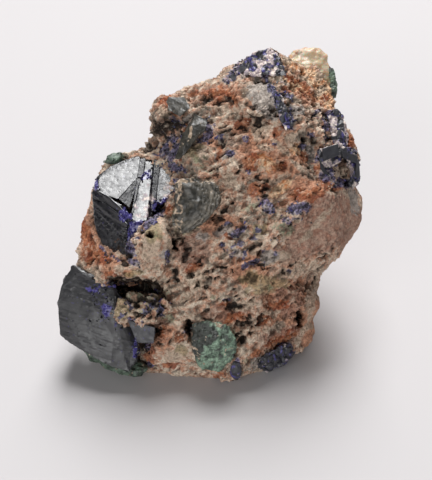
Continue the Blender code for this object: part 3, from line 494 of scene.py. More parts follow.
# The board's half width, in metres, and how far it lies below the specimen, so that their faces don't meet.
BOARD_HALF = 3.0
BOARD_GAP = 0.02


def linear(text):
    """An sRGB hex colour as linear RGBA."""
    values = [int(text[i : i + 2], 16) / 255.0 for i in (0, 2, 4)]
    return tuple(c / 12.92 if c <= 0.04045 else ((c + 0.055) / 1.055) ** 2.4 for c in values) + (1.0,)


def size_setting(name, description, millimetres):
    """A length setting, in metres, from its default in millimetres."""
    return bpy.props.FloatProperty(
        name=name, description=description, default=millimetres * MM, min=0.0, precision=5, unit="LENGTH"
    )


def colour_setting(name, description, text):
    """A colour setting, from its default as an sRGB hex."""
    return bpy.props.FloatVectorProperty(
        name=name, description=description, default=linear(text), size=4, min=0.0, max=1.0, subtype="COLOR"
    )


class RockSettings(bpy.types.PropertyGroup):
    """Sizes and colours of the host rock."""

    voxel: size_setting("Voxel", "Spacing of the rock's points", 0.39)
    grain: size_setting("Grain", "Width of the rock's coarse grains", 1.3)
    relief: size_setting("Relief", "Height of the grains", 0.34)
    pit: size_setting("Pits", "Depth of the small pits", 0.75)
    tan: colour_setting("Tan", "The rock's own pinkish tan", "CA9A80")
    brown: colour_setting("Brown", "Denser pinkish brown rock", "9C7161")
    cream: colour_setting("Cream", "Pale calcite cement", "E4D3BE")
    rust: colour_setting("Rust", "Iron stain", "C27A4E")
    grey: colour_setting("Grey", "Grey calcite in the rock", "857D72")


class CrystalSettings(bpy.types.PropertyGroup):
    """Sizes and colours of the azurite."""

    bevel: size_setting("Edge", "Width of the worn edge of a crystal", 0.14)
    spacing: size_setting("Point spacing", "Longest edge on a crystal's face", 0.5)
    striation: size_setting("Striation", "Distance between growth lines", 1.1)
    body: colour_setting("Body", "Thick azurite, close to black", "0C0C14")
    fringe: colour_setting("Fringe", "Azurite where it is thin or in small crystals", "4A4489")


class CrustSettings(bpy.types.PropertyGroup):
    """Sizes and colours of malachite and calcite."""

    bead: size_setting("Bead", "Width of a malachite bead", 1.5)
    green: colour_setting("Green", "Malachite", "263E2E")
    pale_green: colour_setting("Pale green", "Powdery malachite", "A2C0A6")
    calcite: colour_setting("Calcite", "Translucent calcite", "BFAE94")


class GrainSettings(bpy.types.PropertyGroup):
    """Loose grains and small crystals on the rock."""

    smallest: size_setting("Smallest", "Smallest grain", 0.18)
    largest: size_setting("Largest", "Largest grain", 0.46)
    seed: bpy.props.IntProperty(name="Seed", description="Where the grains fall", default=4, min=0)


class StageSettings(bpy.types.PropertyGroup):
    """Floor, light and camera."""

    floor: colour_setting("Floor", "The pale board under the specimen", "C4C1C2")
    key_power: bpy.props.FloatProperty(
        name="Softbox", description="Power of the softbox overhead", default=3.0, min=0.0, unit="POWER"
    )
    back_power: bpy.props.FloatProperty(
        name="Back light", description="Power of the light behind", default=9.8, min=0.0, unit="POWER"
    )
    card_power: bpy.props.FloatProperty(
        name="Card", description="Power of the card in front", default=2.25, min=0.0, unit="POWER"
    )
    fill: bpy.props.FloatProperty(
        name="Fill", description="Strength of the room's light", default=0.11, min=0.0, subtype="FACTOR"
    )
    lens: bpy.props.FloatProperty(
        name="Lens", description="The camera's focal length, in millimetres", default=120.0, min=1.0
    )


# Places, noise and masks.


def seen(points):
    """Points (u, v, w) of the display face as (x, y, z) in millimetres."""
    points = np.asarray(points, float).reshape(-1, 3)
    spread = (1.0 + points[:, 2] / EYE_DISTANCE)[:, None]
    across = points[:, :1] * spread * RIGHT
    up = points[:, 1:2] * spread * UP
    return FACE_CENTRE + across + up + points[:, 2:] * INWARD


def on_face(points):
    """Where an eye in front sees each point on the display plane: (u, v) in millimetres."""
    from_centre = points - FACE_CENTRE
    spread = 1.0 + from_centre @ INWARD / EYE_DISTANCE
    return np.stack((from_centre @ RIGHT / spread, from_centre @ UP / spread), axis=1)


def wave(points, size, shift=0.0):
    """Smooth noise from -1 to 1, with features of this size. Each shift gives another pattern."""
    return np.array([noise.noise(p) for p in (points / size + shift).tolist()])


def cells(points, size, shift=0.0):
    """For centres scattered this far apart: the distances to the nearest two, and the nearest's offset."""
    found = np.empty((len(points), 5))
    scaled = points / size + shift
    for i, p in enumerate(scaled.tolist()):
        away, centres = noise.voronoi(p)
        found[i] = (away[0], away[1], *(p[k] - centres[0][k] for k in range(3)))
    return found


def step(values, low, high):
    """0 below low and 1 above high, smoothly."""
    t = np.clip((values - low) / (high - low), 0.0, 1.0)
    return t * t * (3.0 - 2.0 * t)


def patch_share(places, patches, soften=0.3):
    """How far each place on the display plane is inside one of the patches, from 0 to 1."""
    share = np.zeros(len(places))
    for u, v, half_width, half_height, turn in patches:
        cos, sin = math.cos(math.radians(turn)), math.sin(math.radians(turn))
        du, dv = places[:, 0] - u, places[:, 1] - v
        away = np.hypot((du * cos + dv * sin) / half_width, (dv * cos - du * sin) / half_height)
        share = np.maximum(share, step(-away, -1.0 - soften, -1.0 + soften))
    return share


def along_fabric(points):
    """Coordinates in which the rock's stretched fabric is even in all directions."""
    cos, sin = math.cos(FABRIC_TURN), math.sin(FABRIC_TURN)
    along = RIGHT * cos + UP * sin
    across = UP * cos - RIGHT * sin
    inward = points @ INWARD / FABRIC_DEPTH
    return np.stack((points @ along / FABRIC_STRETCH, points @ across, inward), axis=1)


def shouldered(points):
    """The points, with those above the rock's right shoulder pressed nearly down to it."""
    places = on_face(points)
    line = np.interp(places[:, 0], *zip(*RIGHT_SHOULDER), left=np.inf, right=np.inf)
    return points - UP * (0.9 * np.clip(places[:, 1] - line, 0.0, None))[:, None]


# Meshes.


def node_shell(name):
    """A CAD node's mesh in millimetres, with its loose triangles merged."""
    bm = bmesh.new()
    bm.from_mesh(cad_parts[name].data)
    bmesh.ops.scale(bm, vec=(1 / MM,) * 3, verts=bm.verts)
    bmesh.ops.remove_doubles(bm, verts=bm.verts, dist=0.002)
    return bm


def hull_shell(points, bevel):
    """The hull of the points, in millimetres, with its sharp edges worn."""
    bm = bmesh.new()
    verts = [bm.verts.new(p) for p in seen(points)]
    made = bmesh.ops.convex_hull(bm, input=verts)
    unused = [g for g in made["geom_interior"] if isinstance(g, bmesh.types.BMVert)]
    bmesh.ops.delete(bm, geom=unused, context="VERTS")
    wear_edges(bm, bevel)
    return bm


def wear_edges(bm, bevel):
    """Makes coplanar faces one, and bevels the sharp edges."""
    bmesh.ops.dissolve_limit(bm, angle_limit=SAME_FACE, verts=bm.verts, edges=bm.edges)
    sharp = [e for e in bm.edges if e.is_manifold and e.calc_face_angle(0.0) > SHARP_EDGE]
    bmesh.ops.bevel(bm, geom=sharp, offset=bevel, segments=1, affect="EDGES", clamp_overlap=True)


def refine(bm, spacing):
    """Cuts the faces along an even lattice of planes, this far apart, and makes triangles of them."""
    corners = np.array([v.co for v in bm.verts])
    for axis in range(3):
        normal = Vector([float(k == axis) for k in range(3)])
        for place in np.arange(corners[:, axis].min() + spacing / 2, corners[:, axis].max(), spacing):
            whole = bm.verts[:] + bm.edges[:] + bm.faces[:]
            bmesh.ops.bisect_plane(bm, geom=whole, plane_co=normal * place, plane_no=normal, dist=1e-4)
    bmesh.ops.triangulate(bm, faces=bm.faces)
    bmesh.ops.remove_doubles(bm, verts=bm.verts, dist=spacing / 12)


def grow(bm, distance):
    """Moves the faces out by this distance, in millimetres."""
    bm.normal_update()
    moves = [v.normal * distance * min(v.calc_shell_factor(), 2.0) for v in bm.verts]
    for vert, move in zip(bm.verts, moves):
        vert.co += move


def mesh_of(name, bm):
    """The mesh of this bmesh, which is then freed."""
    mesh = bpy.data.meshes.new(name)
    bm.to_mesh(mesh)
    bm.free()
    return mesh


def remeshed(mesh, voxel):
    """One even skin round the mesh, with points this far apart."""
    carrier = bpy.data.objects.new("carrier", mesh)
    bpy.context.scene.collection.objects.link(carrier)
    remesh = carrier.modifiers.new("skin", "REMESH")
    remesh.mode = "VOXEL"
    remesh.voxel_size = voxel
    graph = bpy.context.evaluated_depsgraph_get()
    skin = bpy.data.meshes.new_from_object(carrier.evaluated_get(graph))
    bpy.data.objects.remove(carrier)
    return skin


def surface(mesh):
    """The mesh's points and normals, as arrays."""
    points = np.empty(len(mesh.vertices) * 3)
    normals = np.empty(len(mesh.vertices) * 3)
    mesh.vertices.foreach_get("co", points)
    mesh.vertex_normals.foreach_get("vector", normals)
    return points.reshape(-1, 3), normals.reshape(-1, 3)


def reshape(mesh, points):
    """Puts the mesh's points here, none below the floor."""
    points = points.copy()
    points[:, 2] = np.maximum(points[:, 2], 0.0)
    mesh.vertices.foreach_set("co", points.ravel())
    mesh.update()


def mark(mesh, name, values):
    """Writes one value for each point, which the materials read."""
    attribute = mesh.attributes.new(name, "FLOAT", "POINT")
    attribute.data.foreach_set("value", np.clip(values, 0.0, 1.0).astype(np.float32))


def finish_piece(name, mesh, material, replaces=(), sharp=0.0):
    """Turns a mesh in millimetres to the finished piece, in metres.

    The piece is faceted, unless sharp is given. Then it is smooth but for edges that turn more degrees.
    """
    mesh.transform(Matrix.Scale(MM, 4))
    mesh.name = name
    mesh.materials.clear()
    mesh.materials.append(material)
    mesh.polygons.foreach_set("use_smooth", [sharp > 0.0] * len(mesh.polygons))
    if sharp > 0.0:
        mesh.set_sharp_from_angle(angle=math.radians(sharp))
    mesh.update()
    piece = bpy.data.objects.new(name, mesh)
    bpy.context.scene.collection.objects.link(piece)
    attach(piece, "root")
    for node_name in replaces:
        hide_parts(node_name)


# Materials. On a Mix node set to colours, inputs 0, 6 and 7 are the share and the two colours, and output 2
# is what they give.


def add(tree, kind, inputs=None, **settings):
    """Adds a node, with its settings, and its inputs as values or as sockets to link."""
    made = tree.nodes.new(kind)
    for key, value in settings.items():
        setattr(made, key, value)
    for key, value in (inputs or {}).items():
        if isinstance(value, bpy.types.NodeSocket):
            tree.links.new(value, made.inputs[key])
        else:
            made.inputs[key].default_value = value
    return made


def new_material(name, **sockets):
    """An empty procedural material: its tree, its shader and the Object coordinates."""
    made = bpy.data.materials.new(name)
    made.use_nodes = True
    tree = made.node_tree
    tree.nodes.clear()
    shader = add(tree, "ShaderNodeBsdfPrincipled", {k.replace("_", " "): v for k, v in sockets.items()})
    output = add(tree, "ShaderNodeOutputMaterial")
    tree.links.new(shader.outputs["BSDF"], output.inputs["Surface"])
    place = add(tree, "ShaderNodeTexCoord").outputs["Object"]
    return made, tree, shader, place


def per_metre(millimetres):
    """The texture scale at which a feature is this wide."""
    return 1.0 / (millimetres * MM)


def limonitic_matrix(settings, crust):
    """Iron-stained limonitic matrix.

    It is dull, earthy and mottled at grain scale; pits and gaps get painted shade, grain tops painted
    highlights.
    """
    made, tree, shader, place = new_material(
        "Limonitic matrix", Roughness=0.82, IOR=1.5, Specular_IOR_Level=0.35
    )
    mottles = {
        key: add(
            tree,
            "ShaderNodeTexNoise",
            {"Vector": place, "Scale": per_metre(width), "Detail": 5.0, "Roughness": 0.7},
        ).outputs["Fac"]
        for key, width in (("grit", 0.5), ("grain", 1.3))
    }
    # Each layer has its attribute, the mottle that mixes its two colours, those two, how much it covers, and
    # the share at which it is whole. It fades from there to half of that share.
    layers = (
        ("", "grain", settings.tan, settings.cream, 1.0, 0.9),
        ("salmon", "grain", linear("DFA583"), linear("B46F4E"), 0.82, 1.0),
        ("brown", "grain", settings.brown, linear("B58D7A"), 0.75, 0.9),
        ("grey", "grain", settings.grey, linear("4E4A44"), 0.7, 1.0),
        ("amber", "grain", linear("FFDDB6"), linear("D28A58"), 0.9, 0.75),
        ("pale", "grain", settings.cream, linear("BCA48E"), 0.85, 1.0),
        ("ash", "grain", linear("CDC4BC"), linear("A59A92"), 0.85, 0.9),
        ("iron", "grain", settings.rust, linear("984E32"), 0.88, 0.95),
        ("ochre", "grain", linear("BBA67C"), linear("8E8162"), 0.75, 0.95),
        ("malachite", "grain", crust.green, linear("8C9B76"), 0.55, 1.15),
        ("azurite", "grit", linear("2A2A4C"), linear("827FA4"), 0.88, 0.75),
        # Painted shade: the cavity layer paints the pits, the hollows and the cave near black.
        ("cavity", "grit", linear("17110D"), linear("33241C"), 0.94, 0.8),
    )
    # The grains' own mottle makes the edges of the layers ragged.
    edge = add(tree, "ShaderNodeMath", {0: mottles["grain"], 1: 2.2, 2: -1.1}, operation="MULTIPLY_ADD")
    colour = None
    for attribute, mottle, first, second, cover, whole in layers:
        mixing = {"Value": mottles[mottle], "From Min": 0.42, "From Max": 0.58}
        tint_share = add(tree, "ShaderNodeMapRange", mixing).outputs[0]
        shades = {0: tint_share, 6: tuple(first), 7: tuple(second)}
        tint = add(tree, "ShaderNodeMix", shades, data_type="RGBA").outputs[2]
        if not attribute:
            colour = tint
            continue
        share = add(tree, "ShaderNodeAttribute", attribute_name=attribute)
        broken = add(tree, "ShaderNodeMath", {0: share.outputs["Fac"], 1: edge.outputs[0]})
        fading = {"Value": broken.outputs[0], "From Min": 0.5 * whole, "From Max": whole, "To Max": cover}
        factor = add(tree, "ShaderNodeMapRange", fading).outputs[0]
        colour = add(tree, "ShaderNodeMix", {0: factor, 6: colour, 7: tint}, data_type="RGBA").outputs[2]
    # Painted highlight: the tops of the grains are painted paler. Painted shade: the gaps between them are
    # painted darker.
    height = add(tree, "ShaderNodeAttribute", attribute_name="height").outputs["Fac"]
    tops = {"Value": height, "From Min": 0.62, "From Max": 1.0, "To Max": 0.6}
    painted_highlight_mix = {0: add(tree, "ShaderNodeMapRange", tops).outputs[0], 6: colour, 7: linear("E3D2BE")}
    with_painted_highlight = add(tree, "ShaderNodeMix", painted_highlight_mix, data_type="RGBA")
    gaps = {"Value": height, "From Min": 0.1, "From Max": 0.5, "To Min": 0.34}
    painted_gap_shade = add(tree, "ShaderNodeMapRange", gaps)
    specks = {"Value": mottles["grit"], "From Min": 0.36, "From Max": 0.56, "To Min": 0.5}
    speckle = add(tree, "ShaderNodeMapRange", specks)
    shade = add(tree, "ShaderNodeMath", {0: painted_gap_shade.outputs[0], 1: speckle.outputs[0]}, operation="MULTIPLY")
    shading = {0: 1.0, 6: with_painted_highlight.outputs[2], 7: shade.outputs[0]}
    shaded = add(tree, "ShaderNodeMix", shading, data_type="RGBA", blend_type="MULTIPLY")
    tree.links.new(shaded.outputs[2], shader.inputs["Base Color"])
    bump = add(tree, "ShaderNodeBump", {"Height": mottles["grit"], "Strength": 0.9, "Distance": 0.4 * MM})
    tree.links.new(bump.outputs["Normal"], shader.inputs["Normal"])
    return made


def under_crumbs(tree, place, shader, colour, roughness, crumbs):
    """Lays dull crumbs of rock over a mineral where its attribute "rock" is high, and links the shader."""
    width, pale, dark = crumbs
    grain = add(tree, "ShaderNodeTexNoise", {"Vector": place, "Scale": per_metre(width), "Detail": 3.0})
    edge = add(tree, "ShaderNodeMath", {0: grain.outputs["Fac"], 1: 2.0, 2: -1.25}, operation="MULTIPLY_ADD")
    share = add(tree, "ShaderNodeAttribute", attribute_name="rock")
    patchy = add(tree, "ShaderNodeMath", {0: share.outputs["Fac"], 1: edge.outputs[0]})
    here = add(tree, "ShaderNodeMapRange", {"Value": patchy.outputs[0], "From Min": 0.4, "From Max": 0.6})
    tint = add(tree, "ShaderNodeTexNoise", {"Vector": place, "Scale": per_metre(0.6), "Detail": 2.0})
    spread = add(tree, "ShaderNodeMapRange", {"Value": tint.outputs["Fac"], "From Min": 0.4, "From Max": 0.6})
    shades = {0: spread.outputs[0], 6: linear(pale), 7: linear(dark)}
    earth = add(tree, "ShaderNodeMix", shades, data_type="RGBA")
    covering = {0: here.outputs[0], 6: colour, 7: earth.outputs[2]}
    mixed = add(tree, "ShaderNodeMix", covering, data_type="RGBA")
    duller = add(tree, "ShaderNodeMath", {0: here.outputs[0], 1: 0.4, 2: roughness}, operation="MULTIPLY_ADD")
    tree.links.new(mixed.outputs[2], shader.inputs["Base Color"])
    tree.links.new(duller.outputs[0], shader.inputs["Roughness"])


def azurite_crystal(settings, name, wobble, roughness, scale, body=None):
    """Azurite crystals.

    They look black where they are thick and blue where they are thin, with a glassy lustre on faces that
    are slightly uneven at this scale, in millimetres.
    """
    made, tree, shader, place = new_material(name, IOR=1.75)
    rippling = {"Vector": place, "Scale": per_metre(scale), "Detail": 4.0, "Roughness": 0.6}
    ripple = add(tree, "ShaderNodeTexNoise", rippling).outputs["Fac"]
    grit = add(tree, "ShaderNodeTexNoise", {"Vector": place, "Scale": per_metre(0.6), "Detail": 2.0})
    share = add(tree, "ShaderNodeAttribute", attribute_name="fringe")
    edge = add(tree, "ShaderNodeMath", {0: grit.outputs["Fac"], 1: 2.4, 2: -1.3}, operation="MULTIPLY_ADD")
    broken = add(tree, "ShaderNodeMath", {0: share.outputs["Fac"], 1: edge.outputs[0]})
    blue = add(tree, "ShaderNodeMapRange", {"Value": broken.outputs[0], "From Min": 0.3, "From Max": 0.8})
    shades = {0: blue.outputs[0], 6: body or tuple(settings.body), 7: tuple(settings.fringe)}
    colour = add(tree, "ShaderNodeMix", shades, data_type="RGBA")
    dulling = {"Value": ripple, "From Min": 0.35, "From Max": 0.65}
    dulling |= {"To Min": roughness, "To Max": roughness + 0.2}
    dull = add(tree, "ShaderNodeMapRange", dulling)
    under_crumbs(tree, place, shader, colour.outputs[2], dull.outputs[0], AZURITE_CRUMBS)
    bump = add(tree, "ShaderNodeBump", {"Height": ripple, "Strength": wobble, "Distance": 0.2 * MM})
    tree.links.new(bump.outputs["Normal"], shader.inputs["Normal"])
    return made


def mottled_mineral(name, first, second, width, bump_width, bump_strength, roughness, **sockets):
    """A mineral of two mingled shades, at this width, with a fine uneven surface and dark hollows."""
    made, tree, shader, place = new_material(name, **sockets)
    mingling = {"Vector": place, "Scale": per_metre(width), "Detail": 6.0, "Roughness": 0.75}
    cloud = add(tree, "ShaderNodeTexNoise", mingling).outputs["Fac"]
    share = add(tree, "ShaderNodeMapRange", {"Value": cloud, "From Min": 0.4, "From Max": 0.68})
    shades = {0: share.outputs[0], 6: tuple(first), 7: tuple(second)}
    colour = add(tree, "ShaderNodeMix", shades, data_type="RGBA")
    cavity = add(tree, "ShaderNodeAttribute", attribute_name="cavity")
    hollows = {0: cavity.outputs["Fac"], 6: colour.outputs[2], 7: linear("12130E")}
    shade = add(tree, "ShaderNodeMix", hollows, data_type="RGBA")
    dulling = {"Value": cloud, "To Min": roughness - 0.1, "To Max": roughness + 0.1}
    dull = add(tree, "ShaderNodeMapRange", dulling)
    under_crumbs(tree, place, shader, shade.outputs[2], dull.outputs[0], MINERAL_CRUMBS)
    fine = add(tree, "ShaderNodeTexNoise", {"Vector": place, "Scale": per_metre(bump_width), "Detail": 3.0})
    bumps = {"Height": fine.outputs["Fac"], "Strength": bump_strength, "Distance": 0.2 * MM}
    bump = add(tree, "ShaderNodeBump", bumps)
    tree.links.new(bump.outputs["Normal"], shader.inputs["Normal"])
    return made


# Pieces.


def rock_shares(points, normals):
    """How much of each kind of rock is at each point: by its patches in front, and by chance elsewhere."""
    facing = step(-(normals @ INWARD), -0.5, -0.15)
    # The patches' outlines wander.
    warp = np.stack((wave(points, 1.6, 3.1), wave(points, 1.6, 8.7)), axis=1) * 0.7
    warp += np.stack((wave(points, 0.7, 5.1), wave(points, 0.7, 2.7)), axis=1) * 0.35
    places = on_face(points) + warp
    shares = {}
    for seed, (mineral, patches) in enumerate(ROCK_PATCHES.items()):
        size, least = ROCK_HIDDEN[mineral]
        hidden = step(wave(points, size, 11.3 * seed), least, least + 0.12)
        shares[mineral] = patch_share(places, patches) * facing + hidden * (1.0 - facing)
    return shares


def rock_texture(points, grain, shares):
    """The rock's texture of grains, beads, ridges, strings and crumbs, and its pits and cement threads."""
    stretched = along_fabric(points)
    bent = stretched + 0.9 * np.stack([wave(points, BEND_WIDTH, shift) for shift in (4.3, 8.1, 2.6)], axis=1)
    coarse = cells(stretched, grain)
    fine = cells(points, grain * 0.5, 4.2)
    lumps = step(coarse[:, 1] - coarse[:, 0], 0.0, 0.42) - 0.5
    beads = step(fine[:, 1] - fine[:, 0], 0.0, 0.4) - 0.5
    ridges = wave(bent, RIDGE_WIDTH, 5.5)
    strings = 0.5 - 2.2 * np.abs(wave(bent, STRING_WIDTH, 7.1))
    crumbs = wave(points, CRUMB_WIDTH, 3.9)
    coarser = 0.75 + 0.4 * patch_share(on_face(points), WOVEN_FACE)
    texture = 0.5 * lumps + 0.6 * beads + 0.6 * ridges + coarser * strings + 1.1 * crumbs
    pits = step(wave(bent, PIT_WIDTH, 2.2) + 0.7 * wave(points, 4.0, 6.1), 0.38, 0.52)
    pits *= 1.0 - 0.8 * shares["ochre"]
    from_thread = np.abs(wave(stretched, THREAD_MESH, 8.8) + 0.15 * wave(points, 0.8, 4.9))
    threads = 1.0 - step(from_thread, 0.02, 0.09)
    threads *= step(wave(points, 4.5, 2.9), -0.1, 0.15) * (1.0 - shares["smooth"])
    return texture, pits, threads


def grit_shares(points, shares):
    """How thickly each kind of grit lies on the rock. The smooth parts and the hollows have little."""
    bare = 1.0 - np.maximum.reduce((shares["cavity"], 0.95 * shares["smooth"], 0.85 * shares["amber"]))
    patchy = step(wave(points, 1.8, 4.4), -0.2, 0.2)
    return {
        "cream_grit": bare * (0.35 + 0.65 * shares["pale"]) * patchy,
        "tan_grit": bare * (1.0 - 0.7 * shares["azurite"]) * (1.0 - 0.6 * patchy),
        "rust_grit": bare * np.maximum(shares["iron"], 0.3 * (1.0 - patchy)) * (1.0 - 0.8 * shares["pale"]),
        "dark_grit": bare * (1.0 - patchy) * 0.8,
    }


def make_host_rock():
    """The rough rock that carries the crystals."""
    settings = bpy.context.scene.specimen_rock
    mesh = remeshed(mesh_of("matrix", node_shell("matrix")), settings.voxel / MM)
    points, normals = surface(mesh)
    shares = rock_shares(points, normals)
    texture, pits, threads = rock_texture(points, settings.grain / MM, shares)
    shares["pale"] = np.maximum(shares["pale"], 0.85 * threads)
    rough = 1.0 - 0.7 * shares["smooth"]
    relief = rough * (texture * settings.relief - pits * settings.pit) / MM
    relief += BULGE_HEIGHT * wave(points, BULGE_WIDTH, 1.7) * rough
    relief += CRUST_HEIGHT * shares["azurite"] - HOLLOW_DEPTH * shares["hollow"]
    relief += LUMP_HEIGHT * patch_share(on_face(points), RAISED_LUMPS, 0.6)
    relief += THREAD_HEIGHT * threads * (1.0 - pits)
    above_foot = step(points[:, 2], *FOOT_RISE)
    retreat = (CLEARING_DEPTH * shares["clear"] + CAVE_DEPTH * shares["cave"]) * above_foot
    reshape(mesh, shouldered(points + normals * (relief * above_foot)[:, None] + INWARD * retreat[:, None]))
    # The height sets the painted highlight on the grains' tops and the painted shade in the gaps between
    # them.
    shares["height"] = 0.5 + rough * (0.42 * texture + 0.25 * wave(points, 0.6, 1.5))
    # Painted shade: the pits, the hollows and the cave are painted dark, where the rock is also sunk.
    shares["cavity"] = np.maximum.reduce((pits * rough * 0.9, shares["hollow"], shares["cave"]))
    shares.update(grit_shares(points, shares))
    specks = step(wave(points, 1.5, 9.4) + 0.5 * wave(points, 0.6, 1.2), 0.14, 0.34)
    shares["azurite"] = np.maximum(shares["azurite"], shares.pop("trace") * specks)
    for mineral, share in shares.items():
        mark(mesh, mineral, share)
    material = limonitic_matrix(settings, bpy.context.scene.specimen_crust)
    finish_piece("host_rock", mesh, material, ["matrix"])


def face_relief(mesh, height, size, line_height=0.0, turn=0.0):
    """Roughens crystal faces a little, and draws growth lines across the display plane at this turn."""
    settings = bpy.context.scene.specimen_crystal
    points, normals = surface(mesh)
    relief = height * wave(points, size, 2.5) + 0.5 * height * wave(points, size * 0.4, 7.7)
    places = on_face(points)
    across = places[:, 1] * math.cos(turn) - places[:, 0] * math.sin(turn)
    across = (across + 0.5 * wave(points, 4.0, 1.1)) / (settings.striation / MM)
    lines = np.abs(across % 1.0 - 0.7) + 0.5 * np.abs((across * 2.3) % 1.0 - 0.4)
    shallow = step(wave(points, 3.0, 6.6), -0.4, 0.4)
    relief += line_height * (0.3 + shallow) * lines
    reshape(mesh, points + normals * relief[:, None])


def joined(name, meshes):
    """One mesh of these meshes."""
    whole = bmesh.new()
    for mesh in meshes:
        whole.from_mesh(mesh)
        bpy.data.meshes.remove(mesh)
    made = bpy.data.meshes.new(name)
    whole.to_mesh(made)
    whole.free()
    return made


def make_crown():
    """The crown's blades, bright above and dark and striated below, in one piece."""
    settings = bpy.context.scene.specimen_crystal
    parts = []
    # Each group has the height of its relief and of its growth lines, and how fine its points are.
    for hulls, height, line_height, detail in ((BRIGHT_HULLS, 0.03, 0.0, 1.0), (DARK_HULLS, 0.02, 0.2, 0.6)):
        for points in hulls.values():
            shell = hull_shell(points, settings.bevel / MM)
            refine(shell, detail * settings.spacing / MM)
            part = mesh_of("crown", shell)
            face_relief(part, height, 1.1, line_height, CROWN_LINES)
            parts.append(part)
    mesh = joined("crown", parts)
    places = on_face(surface(mesh)[0])
    mark(mesh, "fringe", patch_share(places, CROWN_FRINGE))
    mark(mesh, "rock", 0.6 * patch_share(places, CROWN_CRUMBS))
    # Clean growth faces mirror the softbox, and turn black where they face away from it.
    material = azurite_crystal(
        settings, "Azurite, mirror-bright crystal faces", wobble=0.5, roughness=0.22, scale=0.9
    )
    finish_piece("crown_crystals", mesh, material, ["azurite_crown"], CROWN_EDGE)


def make_prow():
    """The prow crystal, with a faceted, striated front and chipped sides."""
    settings = bpy.context.scene.specimen_crystal
    shell = node_shell("azurite_prow")
    grow(shell, AZURITE_SKIN)
    wear_edges(shell, PROW_EDGE)
    refine(shell, 0.8 * settings.spacing / MM)
    mesh = mesh_of("prow", shell)
    face_relief(mesh, height=0.04, size=2.6, line_height=0.16, turn=PROW_LINES)
    points, normals = surface(mesh)
    places = on_face(points)
    front = step(-(normals @ INWARD), 0.3, 0.7)
    for u, v, turn, slope in PROW_FACETS:
        cos, sin = math.cos(math.radians(turn)), math.sin(math.radians(turn))
        beyond = (places[:, 0] - u) * -sin + (places[:, 1] - v) * cos
        fall = slope * front * np.clip(math.copysign(1.0, slope) * beyond, 0.0, FACET_REACH)
        points += INWARD * fall[:, None]
    chips = np.stack([wave(points, 2.2, shift) for shift in (1.7, 4.1, 8.3)], axis=1)
    chips += 0.9 * np.stack([wave(points, 0.8, shift) for shift in (2.7, 5.1, 9.3)], axis=1)
    points += 0.4 * chips * (1.0 - front)[:, None]
    reshape(mesh, points)
    tint = 0.22 * patch_share(places + 0.8 * chips[:, :2], PROW_TINT)
    mark(mesh, "fringe", np.maximum(tint, patch_share(places + 0.6 * chips[:, :2], PROW_FRINGE)))
    # Etched growth faces have a satin lustre: their highlights are wide and soft.
    material = azurite_crystal(
        settings,
        "Azurite, satin crystal faces",
        wobble=0.3,
        roughness=0.34,
        scale=2.0,
        body=linear("262629"),
    )
    finish_piece("prow_crystal", mesh, material, ["azurite_prow"])


def druse_mesh(node_name, spacing, size, height):
    """A node's shape covered in small crystals, each with one flat end tilted its own way."""
    shell = node_shell(node_name)
    grow(shell, AZURITE_SKIN)
    mesh = remeshed(mesh_of(node_name, shell), spacing)
    points, normals = surface(mesh)
    found = cells(points, size, 1.3)
    offsets = found[:, 2:5]
    centres = points / size - offsets
    tilts = np.stack([wave(centres, 0.37, shift) for shift in (1.1, 5.3, 9.7)], axis=1)
    relief = height * (1.4 * (offsets * tilts).sum(axis=1) + 0.6 * tilts[:, 0] - 0.5 * found[:, 0])
    relief -= height * 0.8 * (1.0 - step(found[:, 1] - found[:, 0], 0.0, 0.22))
    reshape(mesh, points + normals * relief[:, None])
    return mesh


def plain_crystal(node_name):
    """A node's shape as one crystal, with worn edges and growth lines."""
    settings = bpy.context.scene.specimen_crystal
    shell = node_shell(node_name)
    grow(shell, AZURITE_SKIN)
    wear_edges(shell, settings.bevel / MM)
    refine(shell, settings.spacing / MM)
    mesh = mesh_of(node_name, shell)
    face_relief(mesh, height=0.12, size=1.3, line_height=0.1, turn=SMALL_LINES)
    return mesh


def make_small_azurite():
    """The crusts of small crystals, with the plates that stand out of them, and the two plain crystals."""
    settings = bpy.context.scene.specimen_crystal
    # Many small faces, each at its own angle, sparkle here and there on a dull blue-black ground.
    material = azurite_crystal(
        settings, "Azurite, small crystals", wobble=0.4, roughness=0.4, scale=0.9, body=linear("26262D")
    )
    for name, node_name, druse_sizes, blue, rock in SMALL_AZURITE:
        main = druse_mesh(node_name, *druse_sizes) if druse_sizes else plain_crystal(node_name)
        if name == "crest_crust":
            reshape(main, shouldered(surface(main)[0]))
        main_count = len(main.vertices)
        parts = [main]
        for hull in DRUSE_PLATES.get(name, []):
            shell = hull_shell(hull, 0.4 * settings.bevel / MM)
            refine(shell, settings.spacing / MM)
            parts.append(mesh_of(name, shell))
            face_relief(parts[-1], height=0.06, size=1.0)
        mesh = joined(name, parts)
        points = surface(mesh)[0]
        places = on_face(points)
        in_main = np.arange(len(points)) < main_count
        mark(mesh, "fringe", in_main * blue * step(wave(points, 1.1, 3.3), -0.3, 0.3))
        bluer = patch_share(places, ROCK_PATCHES["azurite"])
        crumbs = (0.15 + 0.85 * in_main) * (rock * (1.0 - 0.6 * bluer) + 0.5 * wave(points, 1.7, 6.3))
        mark(mesh, "rock", np.maximum(crumbs, patch_share(places, KNOT_ROCK) * in_main))
        finish_piece(name, mesh, material, [node_name])


